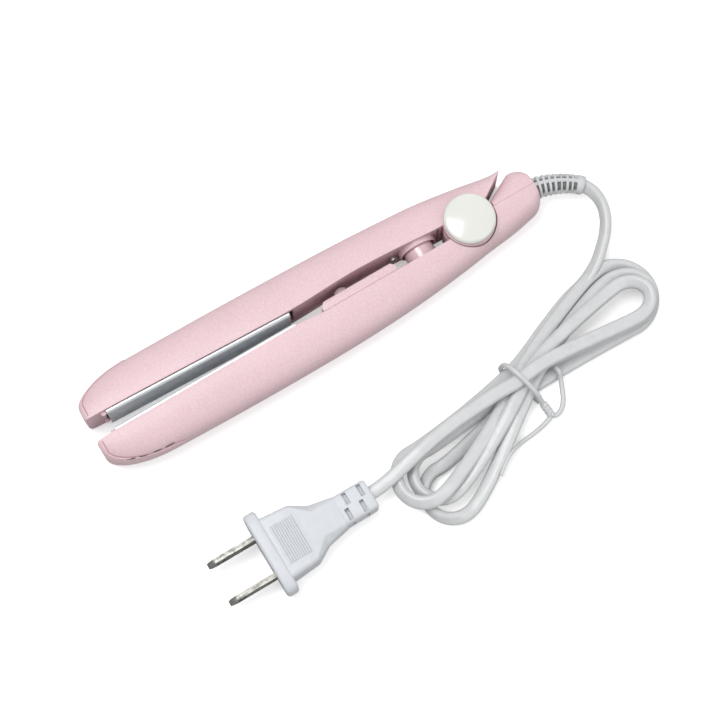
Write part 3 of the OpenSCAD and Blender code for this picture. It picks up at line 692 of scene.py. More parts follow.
def swing_outer(x):
    """Depth of the swing arm's back from the meeting plane."""
    belly = SWING_BELLY_X
    if x < belly:
        fall = 1.1 * ((belly - x) / (TIP_REACH + belly - CORNER_LENGTH)) ** 2
    else:
        fall = 4.5 * ((x - belly) / (FIN_X - belly)) ** 2.3
    fuller = 0.4 * smooth((x + 30) / 20) * (1 - smooth((x - 2) / 12))
    return SWING_BELLY - fall + fuller - CORNER_DROP * quarter(tip_share(x))


def main_inner(x):
    """Distance of the main casing's edge from the meeting plane."""
    return (EDGE + 0.7 * smooth((x - DECK_FRONT + 8) / 7) + 0.2 * smooth((x + 40) / 20)
            - 2.3 * smooth((x + 6) / 12))


def swing_inner(x):
    """Distance of the swing casing's edge from the meeting plane."""
    return (EDGE + 1.6 * smooth((x + 65) / 30) - 0.6 * smooth((x + 30) / 22)
            - 2.1 * smooth((x + 7) / 7) + 0.71 * max(0.0, x - 2.9))


def half_height(x):
    """Half the height of a casing, which falls a little in the rounded corner."""
    return MID_Z - NOSE_DROP * quarter(tip_share(x))


def hub_round_off(x, bulge=HUB_BULGE_X, reach=5.9):
    """Share of the full depth that is left behind the hub's bulge."""
    return max(0.0, 1 - max(0.0, (x - bulge) / reach) ** SQUARENESS) ** (POWER / 2)


def hub_outer(x):
    """Depth of the hub's second half from the meeting plane."""
    if x < HUB_BULGE_X:
        return HUB_DEPTH - HUB_SLOPE * (HUB_BULGE_X - x)
    return HUB_DEPTH * hub_round_off(x)


def hub_height(x):
    """Half the height of the hub's rounded end."""
    return MID_Z - 1.6 * (1 - hub_round_off(x))


def main_height(x):
    """Half the main casing's height, with the hub's rounded end."""
    return hub_height(x) if x > HUB_BULGE_X else half_height(x)


def casing_top(x, y, outer):
    """Height of a casing's upper surface, given its distance from the middle plane."""
    share = max(0.0, min(1.0, (y - EDGE) / (outer(x) - EDGE)))
    nose = NOSE_ROUND * quarter(max(0.0, 1 - (x + TIP_REACH) / NOSE_ROUND))
    return MID_Z + (half_height(x) - NOSE_TUCK * nose) * (1 - share ** SQUARENESS) ** (1 / SQUARENESS)


def arc(x, base, depth, half, count):
    """Half a superellipse across the arm at x, from its lower edge to its upper one."""
    points = []
    for i in range(count + 1):
        a = math.pi * i / count - math.pi / 2
        c, s = max(0.0, math.cos(a)), math.sin(a)
        points.append((x, base + depth * c ** POWER, MID_Z + half * math.copysign(abs(s) ** POWER, s)))
    return points


def casing(name, rows, side):
    """A casing from rows of [x, inner, outer, half height, hollow]; side is 1 or -1 for its side of Y."""
    count = 44
    loops = []
    for x, inner, outer, half, hollow in rows:
        loop = arc(x, inner, outer - inner, half, count)
        back = arc(x, inner, (outer - inner - WALL) * hollow, half - WALL, count)
        loops.append([(px, py * side, pz) for px, py, pz in loop + back[::-1]])
    return mesh_from(name, *skin(loops))


def stations(low, high, spacing):
    """Evenly spaced places from low to high, about one spacing apart."""
    count = max(1, round((high - low) / spacing))
    return [low + (high - low) * i / count for i in range(count + 1)]


def arm_rows(inner, outer, rear_list, rear_height=half_height, round_off=None):
    """Rows along an arm: filled nose, open channel, then the filled hinge end."""
    cavity_rear = -HINGE_RADIUS - 1
    places = [NOSE_SOLID - 0.01, NOSE_SOLID + 0.01, cavity_rear - 0.01, cavity_rear + 0.01]
    for degrees in (90, 87, 84, 81, *range(78, 0, -6)):
        places.append(-TIP_REACH + CORNER_LENGTH * (1 - math.sin(math.radians(degrees))))
    places += stations(CORNER_LENGTH - TIP_REACH, cavity_rear - 0.4, 1.6)
    places += rear_list
    rows = []
    for x in sorted(set(places)):
        hollow = 1 if NOSE_SOLID < x < cavity_rear else 0
        shape = round_off(x) if round_off else 1.0
        ahead = max(0.0, 1 - (x + TIP_REACH) / NOSE_ROUND)
        tuck = NOSE_ROUND * quarter(ahead)
        base = inner(x) + 0.7 * tuck
        back = inner(x) + max(0.4, outer(x) - inner(x)) * shape
        rows.append((x, base, back, rear_height(x) - NOSE_TUCK * tuck, hollow))
    return rows


# The cord's route, in metres ----------------------------------------------------------------------

# From the strain relief to the hank: x, y, z, roll in degrees
LEAD_ROUTE = [
    (0.0352, -0.0046, 0.0075, 20), (0.0368, -0.0058, 0.0075, 30), (0.0386, -0.0080, 0.0073, 45),
    (0.0397, -0.0110, 0.0070, 60), (0.0398, -0.0145, 0.0065, 65), (0.0386, -0.0185, 0.0058, 65),
    (0.0360, -0.0225, 0.0050, 60), (0.0325, -0.0260, 0.0042, 55), (0.0285, -0.0293, 0.0034, 45),
    (0.0236, -0.0318, 0.0024, 30), (0.0150, -0.0342, 0.0017, 15), (0.0045, -0.0382, 0.0017, 5),
    (-0.0093, -0.0438, 0.0017, 0),
]
# From the hank to the plug's neck
TAIL_ROUTE = [
    (-0.0191, -0.0492, 0.0091, 0), (-0.0300, -0.0497, 0.0091, 0), (-0.0412, -0.0508, 0.0091, 0),
    (-0.0500, -0.0524, 0.0089, 0), (-0.0575, -0.0540, 0.0081, 0), (-0.0640, -0.0551, 0.0071, 0),
    (-0.0700, -0.0555, 0.0066, 0),
]
# Each turn of the hank: the two rounded ends, as centre x, y, radius across and along, the heights at
# their start, middle and end, and the roll; then the crossings at the tie, as x, y, z and direction.
HANK_TURNS = [
    ((-52.3, -58.9, 7.8, 8.2, 5.4, 5.2, 7.2, 48), (-13.0, -48.6, 4.8, 33),
     (28.6, -42.0, 11.0, 10.6, 2.6, 2.4, 2.3, 72), (-10.8, -52.2, 1.6, 4)),
    ((-47.0, -66.8, 8.2, 8.2, 1.7, 2.4, 2.4, 72), (-10.4, -52.6, 4.7, 35),
     (29.2, -43.6, 9.4, 7.6, 4.6, 5.0, 4.8, 60), (-11.5, -48.6, 1.6, 8)),
    ((-47.6, -60.2, 7.6, 8.0, 3.2, 3.6, 4.6, 66), (-11.4, -50.4, 6.5, 34),
     (29.4, -45.1, 7.3, 5.9, 7.0, 7.6, 7.6, 40), (-9.5, -48.9, 9.1, 6)),
]


def rounded_end(end, first, last, count=14):
    """Points round one end of the hank, from one angle to another."""
    cx, cy, rx, ry, low, middle, high, roll = end
    points = []
    for i in range(count + 1):
        t = i / count
        a = math.radians(first + (last - first) * t)
        z = low + (middle - low) * smooth(2 * t) if t < 0.5 else middle + (high - middle) * smooth(2 * t - 1)
        points.append((cx + rx * math.cos(a), cy + ry * math.sin(a), z, roll * math.sin(math.pi * t)))
    return points


def crossing(place, reverse):
    """Three points that carry the cord straight through the tie."""
    x, y, z, degrees = place
    way = -1 if reverse else 1
    dx, dy = math.cos(math.radians(degrees)) * 4.5, math.sin(math.radians(degrees)) * 4.5
    return [(x + way * k * dx, y + way * k * dy, z, 0.0) for k in (-1, 0, 1)]


def cord_route():
    """The whole centreline with its roll, in millimetres."""
    points = [(x / MM, y / MM, z / MM, roll) for x, y, z, roll in LEAD_ROUTE]
    for left, through, right, back in HANK_TURNS:
        points += rounded_end(left, 82, 283)
        points += crossing(through, False)
        points += rounded_end(right, 104, -100)
        points += crossing(back, True)
    points += [(x / MM, y / MM, z / MM, roll) for x, y, z, roll in TAIL_ROUTE]
    return spline(points, 1.1)


def route_length(path):
    """Length of a path in metres, from points in millimetres."""
    return sum(math.dist(a[:3], b[:3]) for a, b in zip(path, path[1:])) * MM


# The plug, in millimetres -------------------------------------------------------------------------

# Front and rear faces of the flange, and the line through the middle of the plug
PLUG_FRONT = -105.2
PLUG_START = PLUG_FRONT + 4.0
PLUG_Y = -55.8
PLUG_Z = 6.5


def plug_points(x, pairs):
    """Points of the plug at x, from (across, up) pairs round its middle line."""
    return [(x, PLUG_Y + across, PLUG_Z + up) for across, up in pairs]


def plug_block(name, rows, power):
    """A rounded block from rows of (x, half width, half height)."""
    rings = [plug_points(x, cross_section(2 * half_width, 2 * half_high, 56, power))
             for x, half_width, half_high in rows]
    return mesh_from(name, *skin(rings), sharp_degrees=30.0)


def plug_body(rows):
    """The faceted body from rows of (x, half width, half height, cut corner)."""
    rings = []
    for x, half_width, half_high, corner in rows:
        quarter_turn = [(half_width, half_high - corner), (half_width - corner, half_high)]
        ring = quarter_turn + [(-y, z) for y, z in quarter_turn[::-1]]
        ring += [(-y, -z) for y, z in quarter_turn] + [(y, -z) for y, z in quarter_turn[::-1]]
        rings.append(plug_points(x, ring))
    return bake(bevel(mesh_from("body", *skin(rings), sharp_degrees=12.0), 0.0005, 3, 9.0), 24.0)


def neck_slots(length=1.4):
    """Cutters for the staggered slots on the neck's faces and sides."""
    cutters = []
    openings = ((0.35, 4.15, 2.6, 6.0), (0.35, 4.15, -6.0, -2.6), (4.4, 6.0, -3.1, 3.1))
    for i in range(2):
        for side in (-1, 1):
            x = PLUG_START + 22.9 + 5.0 * i + (1.5 if side > 0 else 0.0)
            for low, high, bottom, top in openings:
                outline = ((0, low), (length, low), (length, high), (0, high))
                rows = [[(x + u, PLUG_Y + side * v, PLUG_Z + z) for u, v in outline] for z in (bottom, top)]
                cutters.append(mesh_from("slot", *skin(rows)))
    return cutters


def grip_panels(count=11, pitch=0.74, foot=5.2):
    """The fine ribs on the body's two faces, and the floors between them, darker as painted shade in the
    grooves.
    """
    ribs = []
    floors = []
    for level in (-1, 1):
        rows = []
        for at, top in ((1.3, 5.87), (9.1, 5.67)):
            outline = ((-6.2, foot), (-6.2, top), (6.2, top), (6.2, foot))
            rows.append(plug_points(PLUG_START + at, [(y, level * z) for y, z in outline]))
        floors.append(mesh_from("rib_shade_floor", *skin(rows)))
        for i in range(count):
            x = PLUG_START + 1.5 + pitch * i
            rows = []
            for y, grow in ((-6.4, 0.4), (-6.1, 1.0), (6.1, 1.0), (6.4, 0.4)):
                top = 5.82 - 0.019 * i + 0.3 * grow
                outline = ((-0.2, foot), (-0.17, top), (0.17, top), (0.2, foot))
                rows.append([(x + u * grow, PLUG_Y + y, PLUG_Z + level * z) for u, z in outline])
            ribs.append(mesh_from("rib", *skin(rows)))
    return ribs, floors


# Operators --------------------------------------------------------------------------------------

class StraightenerOperator:
    bl_options = {"REGISTER", "UNDO"}


class STRAIGHTENER_OT_stage(StraightenerOperator, bpy.types.Operator):
    """Sets up the floor, the soft light and the camera"""
    bl_idname = "straightener.stage"
    bl_label = "Stage, Light and Camera"

    def execute(self, context):
        scene = context.scene
        half = sizes().floor_size / 2
        mesh = bpy.data.meshes.new("floor")
        corners = [(-half, -half, 0), (half, -half, 0), (half, half, 0), (-half, half, 0)]
        mesh.from_pydata(corners, [], [(0, 1, 2, 3)])
        floor = bpy.data.objects.new("floor", mesh)
        scene.collection.objects.link(floor)
        mesh.materials.append(floor_finish())

        camera = bpy.data.cameras.new("camera")
        camera.lens = 96.75
        camera.sensor_width = 36.0
        camera.clip_end = 20.0
        view = bpy.data.objects.new("camera", camera)
        view.location = (-0.1239, -0.1411, 0.576)
        view.rotation_euler = (math.radians(14.1), 0.0, math.radians(-31.07))
        scene.collection.objects.link(view)
        scene.camera = view

        world = scene.world or bpy.data.worlds.new("world")
        scene.world = world
        world.use_nodes = True
        background = world.node_tree.nodes["Background"]
        background.inputs["Color"].default_value = (1.0, 1.0, 1.0, 1.0)
        background.inputs["Strength"].default_value = 0.5
        scene.view_settings.view_transform = "Standard"

        target = Vector((-0.04, -0.01, 0.0))
        lights = (("key", (-0.25, 0.2, 0.92), 0.45, 4.6), ("fill", (0.35, -0.6, 0.75), 0.7, 2.4),
                  ("rim", (0.45, 0.75, 0.6), 0.5, 0.9))
        for name, place, side, power in lights:
            lamp = bpy.data.lights.new(name, "AREA")
            lamp.shape = "SQUARE"
            lamp.size = side
            lamp.energy = power
            obj = bpy.data.objects.new(name, lamp)
            obj.location = place
            obj.rotation_euler = (target - Vector(place)).to_track_quat("-Z", "Y").to_euler()
            scene.collection.objects.link(obj)
        return {"FINISHED"}


class STRAIGHTENER_OT_cord(StraightenerOperator, bpy.types.Operator):
    """Lays the flat cord from the strain relief through the tied hank to the plug"""
    bl_idname = "straightener.cord"
    bl_label = "Cord"

    def execute(self, context):
        s = sizes()
        path = cord_route()
        section = cross_section(s.cord_width / MM, s.cord_thickness / MM, 22, 0.78, 0.07)
        cord = sweep("flat_cord", path, section, rolls=[row[3] for row in path])
        finish_piece(cord, "main_arm", cord_finish(), ("cord_lead", "cord_hank", "cord_tail"))
        return {"FINISHED"}


class STRAIGHTENER_OT_relief(StraightenerOperator, bpy.types.Operator):
    """Builds the ribbed strain relief"""
    bl_idname = "straightener.relief"
    bl_label = "Strain Relief"

    def execute(self, context):
        route = [(19.4, 0.5, 7.75), (20.6, 0.5, 7.75), (24.2, 0.2, 7.75), (27.6, -0.7, 7.75),
                 (31.0, -2.1, 7.75), (34.2, -3.9, 7.65), (36.8, -5.8, 7.5), (37.9, -7.0, 7.4)]
        path = spline(route, 0.25)
        last = len(path) - 1
        # The core's dark colour is painted shade between the ribs
        core = sweep("relief_core", path, cross_section(4.3, 4.3, 20, 1.0),
                     [1.0 - 0.12 * i / last for i in range(last + 1)])
        finish_piece(core, "main_arm", relief_core_shade_finish())
        parts = []
        round_section = cross_section(2.0, 2.0, 28, 0.9)
        total = route_length(path) / MM
        collar = [row for row in path if row[0] < 24.3]
        radii = [3.6 - 0.25 * max(0, i / len(collar) - 0.7) for i in range(len(collar))]
        parts.append(sweep("collar", collar, round_section, radii))
        ribs = 8
        spans = []
        run = 0.0
        for first, second in zip(path, path[1:]):
            spans.append(run)
            run += math.dist(first[:3], second[:3])
        spans.append(run)
        start = spans[len(collar) - 1]
        pitch = (total - start - 1.6) / ribs
        for k in range(ribs):
            low, high = start + pitch * (k + 0.5), start + pitch * (k + 1.02)
            band = [row for row, at in zip(path, spans) if low <= at <= high]
            radius = 3.55 - 0.62 * (k + 1) / ribs
            middle = (len(band) - 1) / 2
            radii = [radius - 0.12 * (abs(i / middle - 1) > 0.8) for i in range(len(band))]
            parts.append(sweep("rib", band, round_section, radii))
        tip = [row for row, at in zip(path, spans) if at > total - 1.9]
        radii = [2.95 - 0.35 * smooth((i / (len(tip) - 1) - 0.6) / 0.4) for i in range(len(tip))]
        parts.append(sweep("tip", tip, round_section, radii))
        up = Vector((0, 0, 1))
        for degrees in (82, -98, 8, 188):
            rail = []
            for i, row in enumerate(path):
                ahead = (Vector(path[min(i + 1, last)]) - Vector(path[max(i - 1, 0)])).normalized()
                side = up.cross(ahead).normalized()
                a = math.radians(degrees)
                reach = 2.75 - 0.5 * i / last
                rail.append(Vector(row) + side * math.cos(a) * reach + up * math.sin(a) * reach)
            rail = rail[len(collar) // 2:-4]
            parts.append(sweep("rail", rail, cross_section(1.3, 1.3, 12, 0.85)))
        relief = join("ribbed_strain_relief", *parts)
        finish_piece(relief, "main_arm", relief_finish(), ("strain_relief",))
        return {"FINISHED"}


class STRAIGHTENER_OT_tie(StraightenerOperator, bpy.types.Operator):
    """Winds the coated wire tie round the hank, twists it and leaves its loop and end"""
    bl_idname = "straightener.tie"
    bl_label = "Twist Tie"

    def execute(self, context):
        radius = sizes().tie_radius / MM
        wire = cross_section(2 * radius, 2 * radius, 14, 1.0)
        band = [(-9.2, -57.0, 0.7), (-10.2, -54.0, 0.65), (-12.4, -47.0, 0.65), (-13.9, -43.4, 0.9),
                (-14.3, -42.4, 2.6), (-14.1, -42.3, 5.6), (-13.7, -43.0, 8.6), (-13.2, -44.6, 10.6),
                (-12.3, -48.0, 11.45), (-11.3, -51.6, 11.0), (-10.3, -55.0, 9.2), (-9.7, -57.2, 6.4),
                (-9.4, -58.4, 4.6), (-9.3, -59.0, 4.0)]
        parts = [sweep("band", spline(band, 0.5), wire)]
        axis = spline([(-9.3, -58.6, 4.2), (-9.0, -60.4, 3.5), (-8.8, -62.9, 2.9)], 0.12)
        for phase in (0.0, math.pi):
            strand = []
            for i, row in enumerate(axis):
                a = phase + 2 * math.pi * i * 0.12 / 2.5
                strand.append((row[0] + 0.55 * math.cos(a), row[1], row[2] + 0.55 * math.sin(a)))
            parts.append(sweep("twist", strand, wire))
        loop = [(-8.8, -62.7, 2.9), (-7.4, -63.2, 2.6), (-5.4, -62.6, 2.6), (-3.2, -60.4, 2.8),
                (-1.6, -57.2, 3.0), (-0.4, -54.4, 3.6), (0.0, -52.6, 5.2), (-0.2, -50.8, 5.4)]
        parts.append(sweep("loop", spline(loop, 0.5), wire))
        end = [(-8.9, -62.7, 2.8), (-10.6, -63.3, 2.4), (-15.7, -64.3, 1.6), (-20.0, -64.7, 1.2),
               (-23.4, -65.5, 3.2), (-26.4, -66.7, 4.6), (-29.4, -68.6, 4.7), (-32.0, -70.6, 4.6)]
        strand = spline(end, 0.5)
        thinning = [1.0 - 0.35 * i / len(strand) for i in range(len(strand))]
        parts.append(sweep("end", strand, wire, thinning))
        tie = join("wire_tie", *parts)
        finish_piece(tie, "main_arm", tie_finish(), ("twist_tie",))
        return {"FINISHED"}


class STRAIGHTENER_OT_plug(StraightenerOperator, bpy.types.Operator):
    """Builds the plug with its flange, grip ribs and slotted neck, and finishes its blades"""
    bl_idname = "straightener.plug"
    bl_label = "Plug"

    def execute(self, context):
        front = PLUG_FRONT
        start = PLUG_START
        flange = plug_block("flange", [
            (front, 12.7, 5.7), (front + 0.2, 13.15, 6.15), (front + 0.7, 13.45, 6.45),
            (front + 1.2, 13.5, 6.5), (front + 2.9, 13.5, 6.5), (front + 3.4, 13.4, 6.4),
            (front + 3.85, 13.0, 6.0), (front + 4.0, 12.6, 5.6)], 0.4)
        body = plug_body([
            (start - 0.6, 10.3, 5.85, 0.9), (start + 9.2, 9.5, 5.6, 0.9), (start + 14.2, 6.7, 5.0, 2.6),
            (start + 22, 4.95, 4.62, 0.9)])
        neck = plug_block("neck", [
            (start + 21.8, 4.94, 4.62), (start + 27, 4.92, 4.62), (start + 31.8, 4.9, 4.6),
            (start + 32.25, 4.75, 4.45), (start + 32.6, 4.3, 4.0)], 0.34)
        cut(neck, *neck_slots())
        ribs, floors = grip_panels()
        # The floors between the ribs take the plug's white darkened, as painted shade in the grooves
        c = colours()
        grooves = moulded("plug grooves painted shade", shade(c.plug, 0.8), shade(c.plug, 0.7), grain=1300.0,
                          rough=(0.5, 0.65))
        finish_piece(join("plug_rib_shade_field", *floors), "main_arm", grooves)
        plug = join("moulded_plug", flange, body, neck, *ribs)
        shade_by_angle(plug.data, 24.0)
        finish_piece(plug, "main_arm", plug_finish(), ("plug_body",))
        dress("plug_blades", blade_finish(), 0.0003)
        return {"FINISHED"}


class STRAIGHTENER_OT_main_arm(StraightenerOperator, bpy.types.Operator):
    """Builds the main arm's casing with its drum and hub, and the second half of the hub"""
    bl_idname = "straightener.main_arm"
    bl_label = "Main Arm"

    def execute(self, context):
        width = sizes().rim_bevel
        ends = [HUB_REACH - d for d in (4.4, 3.8, 3.2, 2.6, 2.0, 1.5, 1.0, 0.6, 0.3, 0.1)]
        rows = arm_rows(main_inner, main_outer, stations(-9.0, HUB_BULGE_X, 1.2) + ends, main_height,
                        lambda x: hub_round_off(x, HUB_REACH - 3.9, 4.6))
        arm = bake(bevel(casing("main_casing", rows, -1), width, 3, 60.0))
        cut(arm, rod("top", EAR_CLEAR, DRUM[1], ABOVE), rod("foot", EAR_CLEAR, BELOW, DRUM[0]),
            rod("pin", PIN_CLEAR, BELOW, ABOVE))
        drum = cut(rod("drum", HINGE_RADIUS, *DRUM), rod("pin", PIN_CLEAR, 0.0, ABOVE))
        casing_piece = join("main_casing", arm, bake(bevel(drum, 0.0003)))
        finish_piece(casing_piece, "main_arm", shell_finish(), ("main_shell",))

        hub_rows = []
        for x in stations(8.8, HUB_BULGE_X, 0.8) + ends:
            hub_rows.append((x, 0.06, hub_outer(x), hub_height(x) if x > HUB_BULGE_X else MID_Z, 0))
        hub = bake(bevel(casing("hub_half", hub_rows, 1), 0.00045, 3, 60.0))
        finish_piece(hub, "main_arm", shell_finish(), ("hub_cover",))
        return {"FINISHED"}


class STRAIGHTENER_OT_swing_arm(StraightenerOperator, bpy.types.Operator):
    """Builds the swing arm's casing with its two ears"""
    bl_idname = "straightener.swing_arm"
    bl_label = "Swing Arm"

    def execute(self, context):
        rows = arm_rows(swing_inner, swing_outer, stations(-9.0, 15.7, 1.1))
        arm = bake(bevel(casing("swing_casing", rows, 1), sizes().rim_bevel, 3, 60.0))
        cut(arm, rod("drum", EAR_CLEAR, FOOT_EAR[1], TOP_EAR[0]),
            rod("foot", FOOT_CAP_CLEAR, BELOW, FOOT_EAR[0]), rod("pin", PIN_CLEAR, BELOW, ABOVE))
        ears = []
        for layer in (FOOT_EAR, TOP_EAR):
            ear = cut(rod("ear", HINGE_RADIUS, *layer), rod("pin", PIN_CLEAR, 0.0, ABOVE))
            ears.append(bake(bevel(ear, 0.0003)))
        piece = join("swing_casing", arm, *ears)
        open_arm(piece)
        finish_piece(piece, "swing_arm", shell_finish(), ("swing_shell",))

        rows = []
        for x in stations(-60.4, -9.6, 0.9):
            y = swing_inner(x)
            rows.append([(x, y + 0.3, 1.7), (x, y + 1.5, 1.7), (x, y + 1.5, 13.8), (x, y + 0.3, 13.8)])
        liner = mesh_from("swing_liner", *skin(rows))
        open_arm(liner)
        # The liner's darker pink is painted shade
        finish_piece(liner, "swing_arm", inner_wall_shade_finish(), ("swing_cover",))
        return {"FINISHED"}


class STRAIGHTENER_OT_tips(StraightenerOperator, bpy.types.Operator):
    """Draws the lip (painted highlight) and parting line round both tips, and the vents (painted shade) on
    the main arm
    """
    bl_idname = "straightener.tips"
    bl_label = "Tip Lips and Vents"

    def execute(self, context):
        radius = sizes().seam_radius / MM
        for body, outer, side, reach in (("swing_arm", swing_outer, 1, -112.0),
                                         ("main_arm", main_outer, -1, -108.0)):
            lines = {}
            for label, front_inset, side_inset in (("seam", 1.75, 0.6), ("lip", 1.25, 0.3)):
                plan = []
                foot = outer(CORNER_LENGTH - TIP_REACH)
                for k in range(5):
                    plan.append((front_inset - TIP_REACH, 2.2 + (foot - CORNER_DROP - 2.4) * k / 5))
                for degrees in range(90, -1, -6):
                    a = math.radians(degrees)
                    inset = side_inset + (front_inset - side_inset) * math.sin(a) ** 2
                    normal = Vector((CORNER_DROP * math.sin(a), -CORNER_LENGTH * math.cos(a)))
                    normal = normal.normalized() * inset
                    edge_x = CORNER_LENGTH - TIP_REACH - CORNER_LENGTH * math.sin(a)
                    plan.append((edge_x + normal.x, outer(edge_x) + normal.y))
                for x in stations(-111.0, reach, 1.0)[1:] if reach > -111.0 else []:
                    fade = 1 - 0.6 * smooth((x + 111.0) / (reach + 111.0))
                    plan.append((x, outer(x) - side_inset * fade))
                path = [(x, y * side, casing_top(x, y, outer)) for x, y in plan]
                lines[label] = sweep(label, spline(path, 0.4), cross_section(2 * radius, 2 * radius, 10, 1.0))
            for label, finish in (("seam", seam_finish()), ("lip", lip_highlight_finish())):
                obj = lines[label]
                obj.name = f"{body}_tip_{label}"
                if body == "swing_arm":
                    open_arm(obj)
                finish_piece(obj, body, finish)
        for body, side in (("swing_arm", 1), ("main_arm", -1)):
            knob = lathe("knob", [(0.02, -0.9), (0.6, -0.8), (0.95, -0.45), (1.05, 0.0), (0.95, 0.45),
                                  (0.6, 0.8), (0.02, 0.9)], 24, (-124.9, 1.25 * side, 12.6))
            rest = lathe("rest", [(0.4, -0.5), (0.8, -0.3), (0.9, 0.0), (0.8, 0.3), (0.4, 0.5)], 24,
                         (-124.9, 1.25 * side, 3.6))
            pads = join(f"{body}_plate_lip", knob, rest)
            if body == "swing_arm":
                open_arm(pads)
            shade_by_angle(pads.data, 60.0)
            finish_piece(pads, body, lip_highlight_finish())
        # The vents are dark dashes laid on the casing: painted shade standing in for their open slots
        vents = []
        for low, high in ((-125.8, -123.2), (-122.2, -119.2), (-118.2, -115.2), (-114.2, -111.0)):
            path = []
            for k in range(9):
                x = low + (high - low) * k / 8
                y = main_outer(x) - 0.75
                path.append((x, -y, casing_top(x, y, main_outer)))
            fullness = [0.35 + 0.65 * math.sin(math.pi * k / 8) ** 0.4 for k in range(9)]
            vents.append(sweep("vent", path, cross_section(0.5, 0.45, 12, 1.0), fullness))
        dark = moulded("vent painted shade", (0.16, 0.09, 0.10), (0.08, 0.05, 0.05), grain=900.0, rough=(0.6, 0.8))
        finish_piece(join("tip_vents_painted_shade", *vents), "main_arm", dark)
        return {"FINISHED"}


class STRAIGHTENER_OT_button(StraightenerOperator, bpy.types.Operator):
    """Turns the domed cap over the hinge, and finishes the flat cap and the pin"""
    bl_idname = "straightener.button"
    bl_label = "Hinge Caps"

    def execute(self, context):
        seat = 15.8
        height = 2.8
        radius = 8.0
        crown = 0.75
        rim_width = 1.15
        rim_rise = 1.1
        profile = [(1.6, seat), (radius - 0.35, seat), (radius - 0.05, seat + 0.18), (radius, seat + 0.4),
                   (radius, seat + height - crown - rim_rise)]
        for degrees in range(8, 88, 8):
            a = math.radians(degrees)
            profile.append((radius - rim_width * (1 - math.cos(a)),
                            seat + height - crown - rim_rise + rim_rise * math.sin(a)))
        inner = radius - rim_width
        for k in range(24, 0, -1):
            r = inner * k / 24
            profile.append((r, seat + height - crown + crown * (1 - (r / inner) ** 2)))
        profile.append((0.02, seat + height))
        button = lathe("domed_cap", profile, 128)
        finish_piece(button, "swing_arm", button_finish(), ("hinge_cap",))
        dress("hinge_foot_cap", button_finish(), 0.0003)
        dress("hinge_pin", metal("bright steel", (0.62, 0.62, 0.61), (0.35, 0.35, 0.35)))
        return {"FINISHED"}


class STRAIGHTENER_OT_plates(StraightenerOperator, bpy.types.Operator):
    """Finishes the hair plates and what holds them"""
    bl_idname = "straightener.plates"
    bl_label = "Hair Plates"

    def execute(self, context):
        coating = plate_finish()
        tray = moulded("brown tray resin", (0.10, 0.065, 0.06), (0.05, 0.035, 0.035), grain=800.0,
                       rough=(0.5, 0.7))
        ceramic = moulded("heater ceramic", (0.72, 0.70, 0.64), (0.60, 0.56, 0.48), grain=700.0,
                          rough=(0.6, 0.8))
        mica = moulded("mica sheet", (0.42, 0.30, 0.18), (0.28, 0.19, 0.11), grain=250.0, mottle=0.9,
                       rough=(0.3, 0.5))
        for arm in ("main", "swing"):
            dress(f"{arm}_heat_plate", coating, 0.00015)
            dress(f"{arm}_plate_carrier", tray, 0.0002)
            dress(f"{arm}_heater", ceramic)
            dress(f"{arm}_insulation", mica)
        return {"FINISHED"}


class STRAIGHTENER_OT_covers(StraightenerOperator, bpy.types.Operator):
    """Finishes the covers, the deck, the spring post and its collar, the lens and the screws"""
    bl_idname = "straightener.covers"
    bl_label = "Covers and Spring Post"

    def execute(self, context):
        stops = [(-60.4, 0), (DECK_FRONT - 0.12, 0), (DECK_FRONT, 0.55), (DECK_FRONT + 1.3, 1),
                 (DECK_REAR - 1.3, 1), (DECK_REAR, 0.55), (DECK_REAR + 0.12, 0), (-25.3, 0)]
        rows = []
        for x, rise in stops:
            back = -main_inner(x) - 1.5
            face = -0.5 + 1.3 * (rise - 0.55) / 0.45 if rise else -main_inner(x) - 0.35
            low, high = (0.4, 15.12) if rise else (1.7, 13.8)
            rows.append([(x, back, low), (x, face, low), (x, face, high), (x, back, high)])
        deck = bake(bevel(mesh_from("deck_cover", *skin(rows)), 0.0003, 2, 30.0))
        finish_piece(deck, "main_arm", shell_finish(), ("main_cover",))
        foot = [(x, -main_inner(x) + 0.02, ARM_HEIGHT - 0.36) for x in stations(DECK_FRONT - 1.0, -21.5, 1.0)]
        line = sweep("deck_foot_line", foot, cross_section(0.42, 0.5, 10, 1.0))
        finish_piece(line, "main_arm", seam_finish())
        c = colours()
        gloss = moulded("gloss pink plastic", c.shell, shade(c.shell, 0.9), grain=2500.0,
                        rough=(0.16, 0.26), bump=0.04, coat=0.5)
        dress("spring_post", gloss, 0.0003)
        ring = [(0.02, 4.3), (5.35, 4.3), (5.35, 1.5), (5.45, 1.25), (5.65, 1.12), (5.85, 1.12),
                (6.05, 1.25), (6.15, 1.5), (6.15, 4.9), (0.02, 4.9)]
        collar = lathe("post_collar", ring, 72, (-17.0, 0.0, MID_Z), "Y")
        open_arm(collar)
        finish_piece(collar, "swing_arm", shell_finish(), ("spring_collar",))
        dress("indicator_lens", lens_finish())
        steel = metal("zinc screw steel", (0.55, 0.54, 0.52), (0.30, 0.28, 0.26), amount=0.4)
        for node in ("main_screws", "swing_screws"):
            dress(node, steel, 0.0001)
        dress("opening_spring", metal("spring steel", (0.50, 0.50, 0.50), (0.28, 0.28, 0.29), amount=0.3))
        dress("hinge_washers", metal("washer steel", (0.62, 0.61, 0.60), (0.40, 0.38, 0.36), amount=0.3))
        return {"FINISHED"}


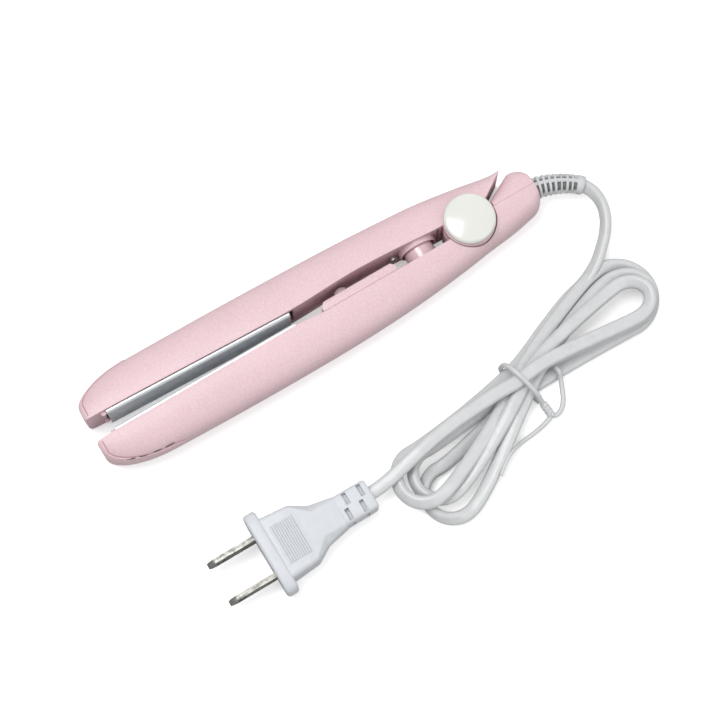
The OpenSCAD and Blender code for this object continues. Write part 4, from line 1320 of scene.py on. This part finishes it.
class STRAIGHTENER_OT_inside(StraightenerOperator, bpy.types.Operator):
    """Finishes the board, its parts, the fuse, the clamp and the wires"""
    bl_idname = "straightener.inside"
    bl_label = "Inside"

    def execute(self, context):
        dress("control_board", moulded("green board", (0.02, 0.16, 0.06), (0.01, 0.09, 0.04), grain=500.0,
                                       rough=(0.3, 0.45), coat=0.3))
        dress("board_parts", moulded("board parts", (0.42, 0.24, 0.12), (0.20, 0.12, 0.08),
                                     grain=400.0), 0.00015)
        dress("thermal_fuse", metal("fuse can", (0.66, 0.66, 0.64), (0.44, 0.42, 0.38), amount=0.3))
        dress("cord_clamp", moulded("clamp nylon", (0.74, 0.73, 0.70), (0.62, 0.60, 0.56),
                                    grain=900.0), 0.0002)
        wire = moulded("red wire sleeve", (0.45, 0.05, 0.04), (0.28, 0.03, 0.03), grain=900.0, coat=0.2)
        for node in ("main_wires", "swing_wires"):
            dress(node, wire)
        return {"FINISHED"}


class STRAIGHTENER_PT_panel(bpy.types.Panel):
    """Lists the straightener's pieces, sizes and colours"""
    bl_idname = "STRAIGHTENER_PT_panel"
    bl_label = "Mini Hair Straightener"
    bl_space_type = "VIEW_3D"
    bl_region_type = "UI"
    bl_category = "Straightener"

    def draw(self, context):
        for operator in STEPS:
            self.layout.operator(operator.bl_idname)
        for group in (context.scene.straightener_sizes, context.scene.straightener_colours):
            box = self.layout.box()
            for label in group.__annotations__:
                box.prop(group, label)


STEPS = (
    STRAIGHTENER_OT_stage, STRAIGHTENER_OT_relief, STRAIGHTENER_OT_tie, STRAIGHTENER_OT_plug,
    STRAIGHTENER_OT_cord, STRAIGHTENER_OT_main_arm, STRAIGHTENER_OT_swing_arm, STRAIGHTENER_OT_tips,
    STRAIGHTENER_OT_button, STRAIGHTENER_OT_plates, STRAIGHTENER_OT_covers, STRAIGHTENER_OT_inside,
)
CLASSES = (StraightenerSizes, StraightenerColours, *STEPS, STRAIGHTENER_PT_panel)


def register():
    for cls in CLASSES:
        bpy.utils.register_class(cls)
    bpy.types.Scene.straightener_sizes = bpy.props.PointerProperty(type=StraightenerSizes)
    bpy.types.Scene.straightener_colours = bpy.props.PointerProperty(type=StraightenerColours)


def unregister():
    del bpy.types.Scene.straightener_colours
    del bpy.types.Scene.straightener_sizes
    for cls in reversed(CLASSES):
        bpy.utils.unregister_class(cls)


def main():
    """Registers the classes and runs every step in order."""
    register()
    for step in STEPS:
        area, name = step.bl_idname.split(".")
        if getattr(getattr(bpy.ops, area), name)() != {"FINISHED"}:
            raise RuntimeError(f"{step.bl_label} didn't finish")


if __name__ == "__main__":
    main()
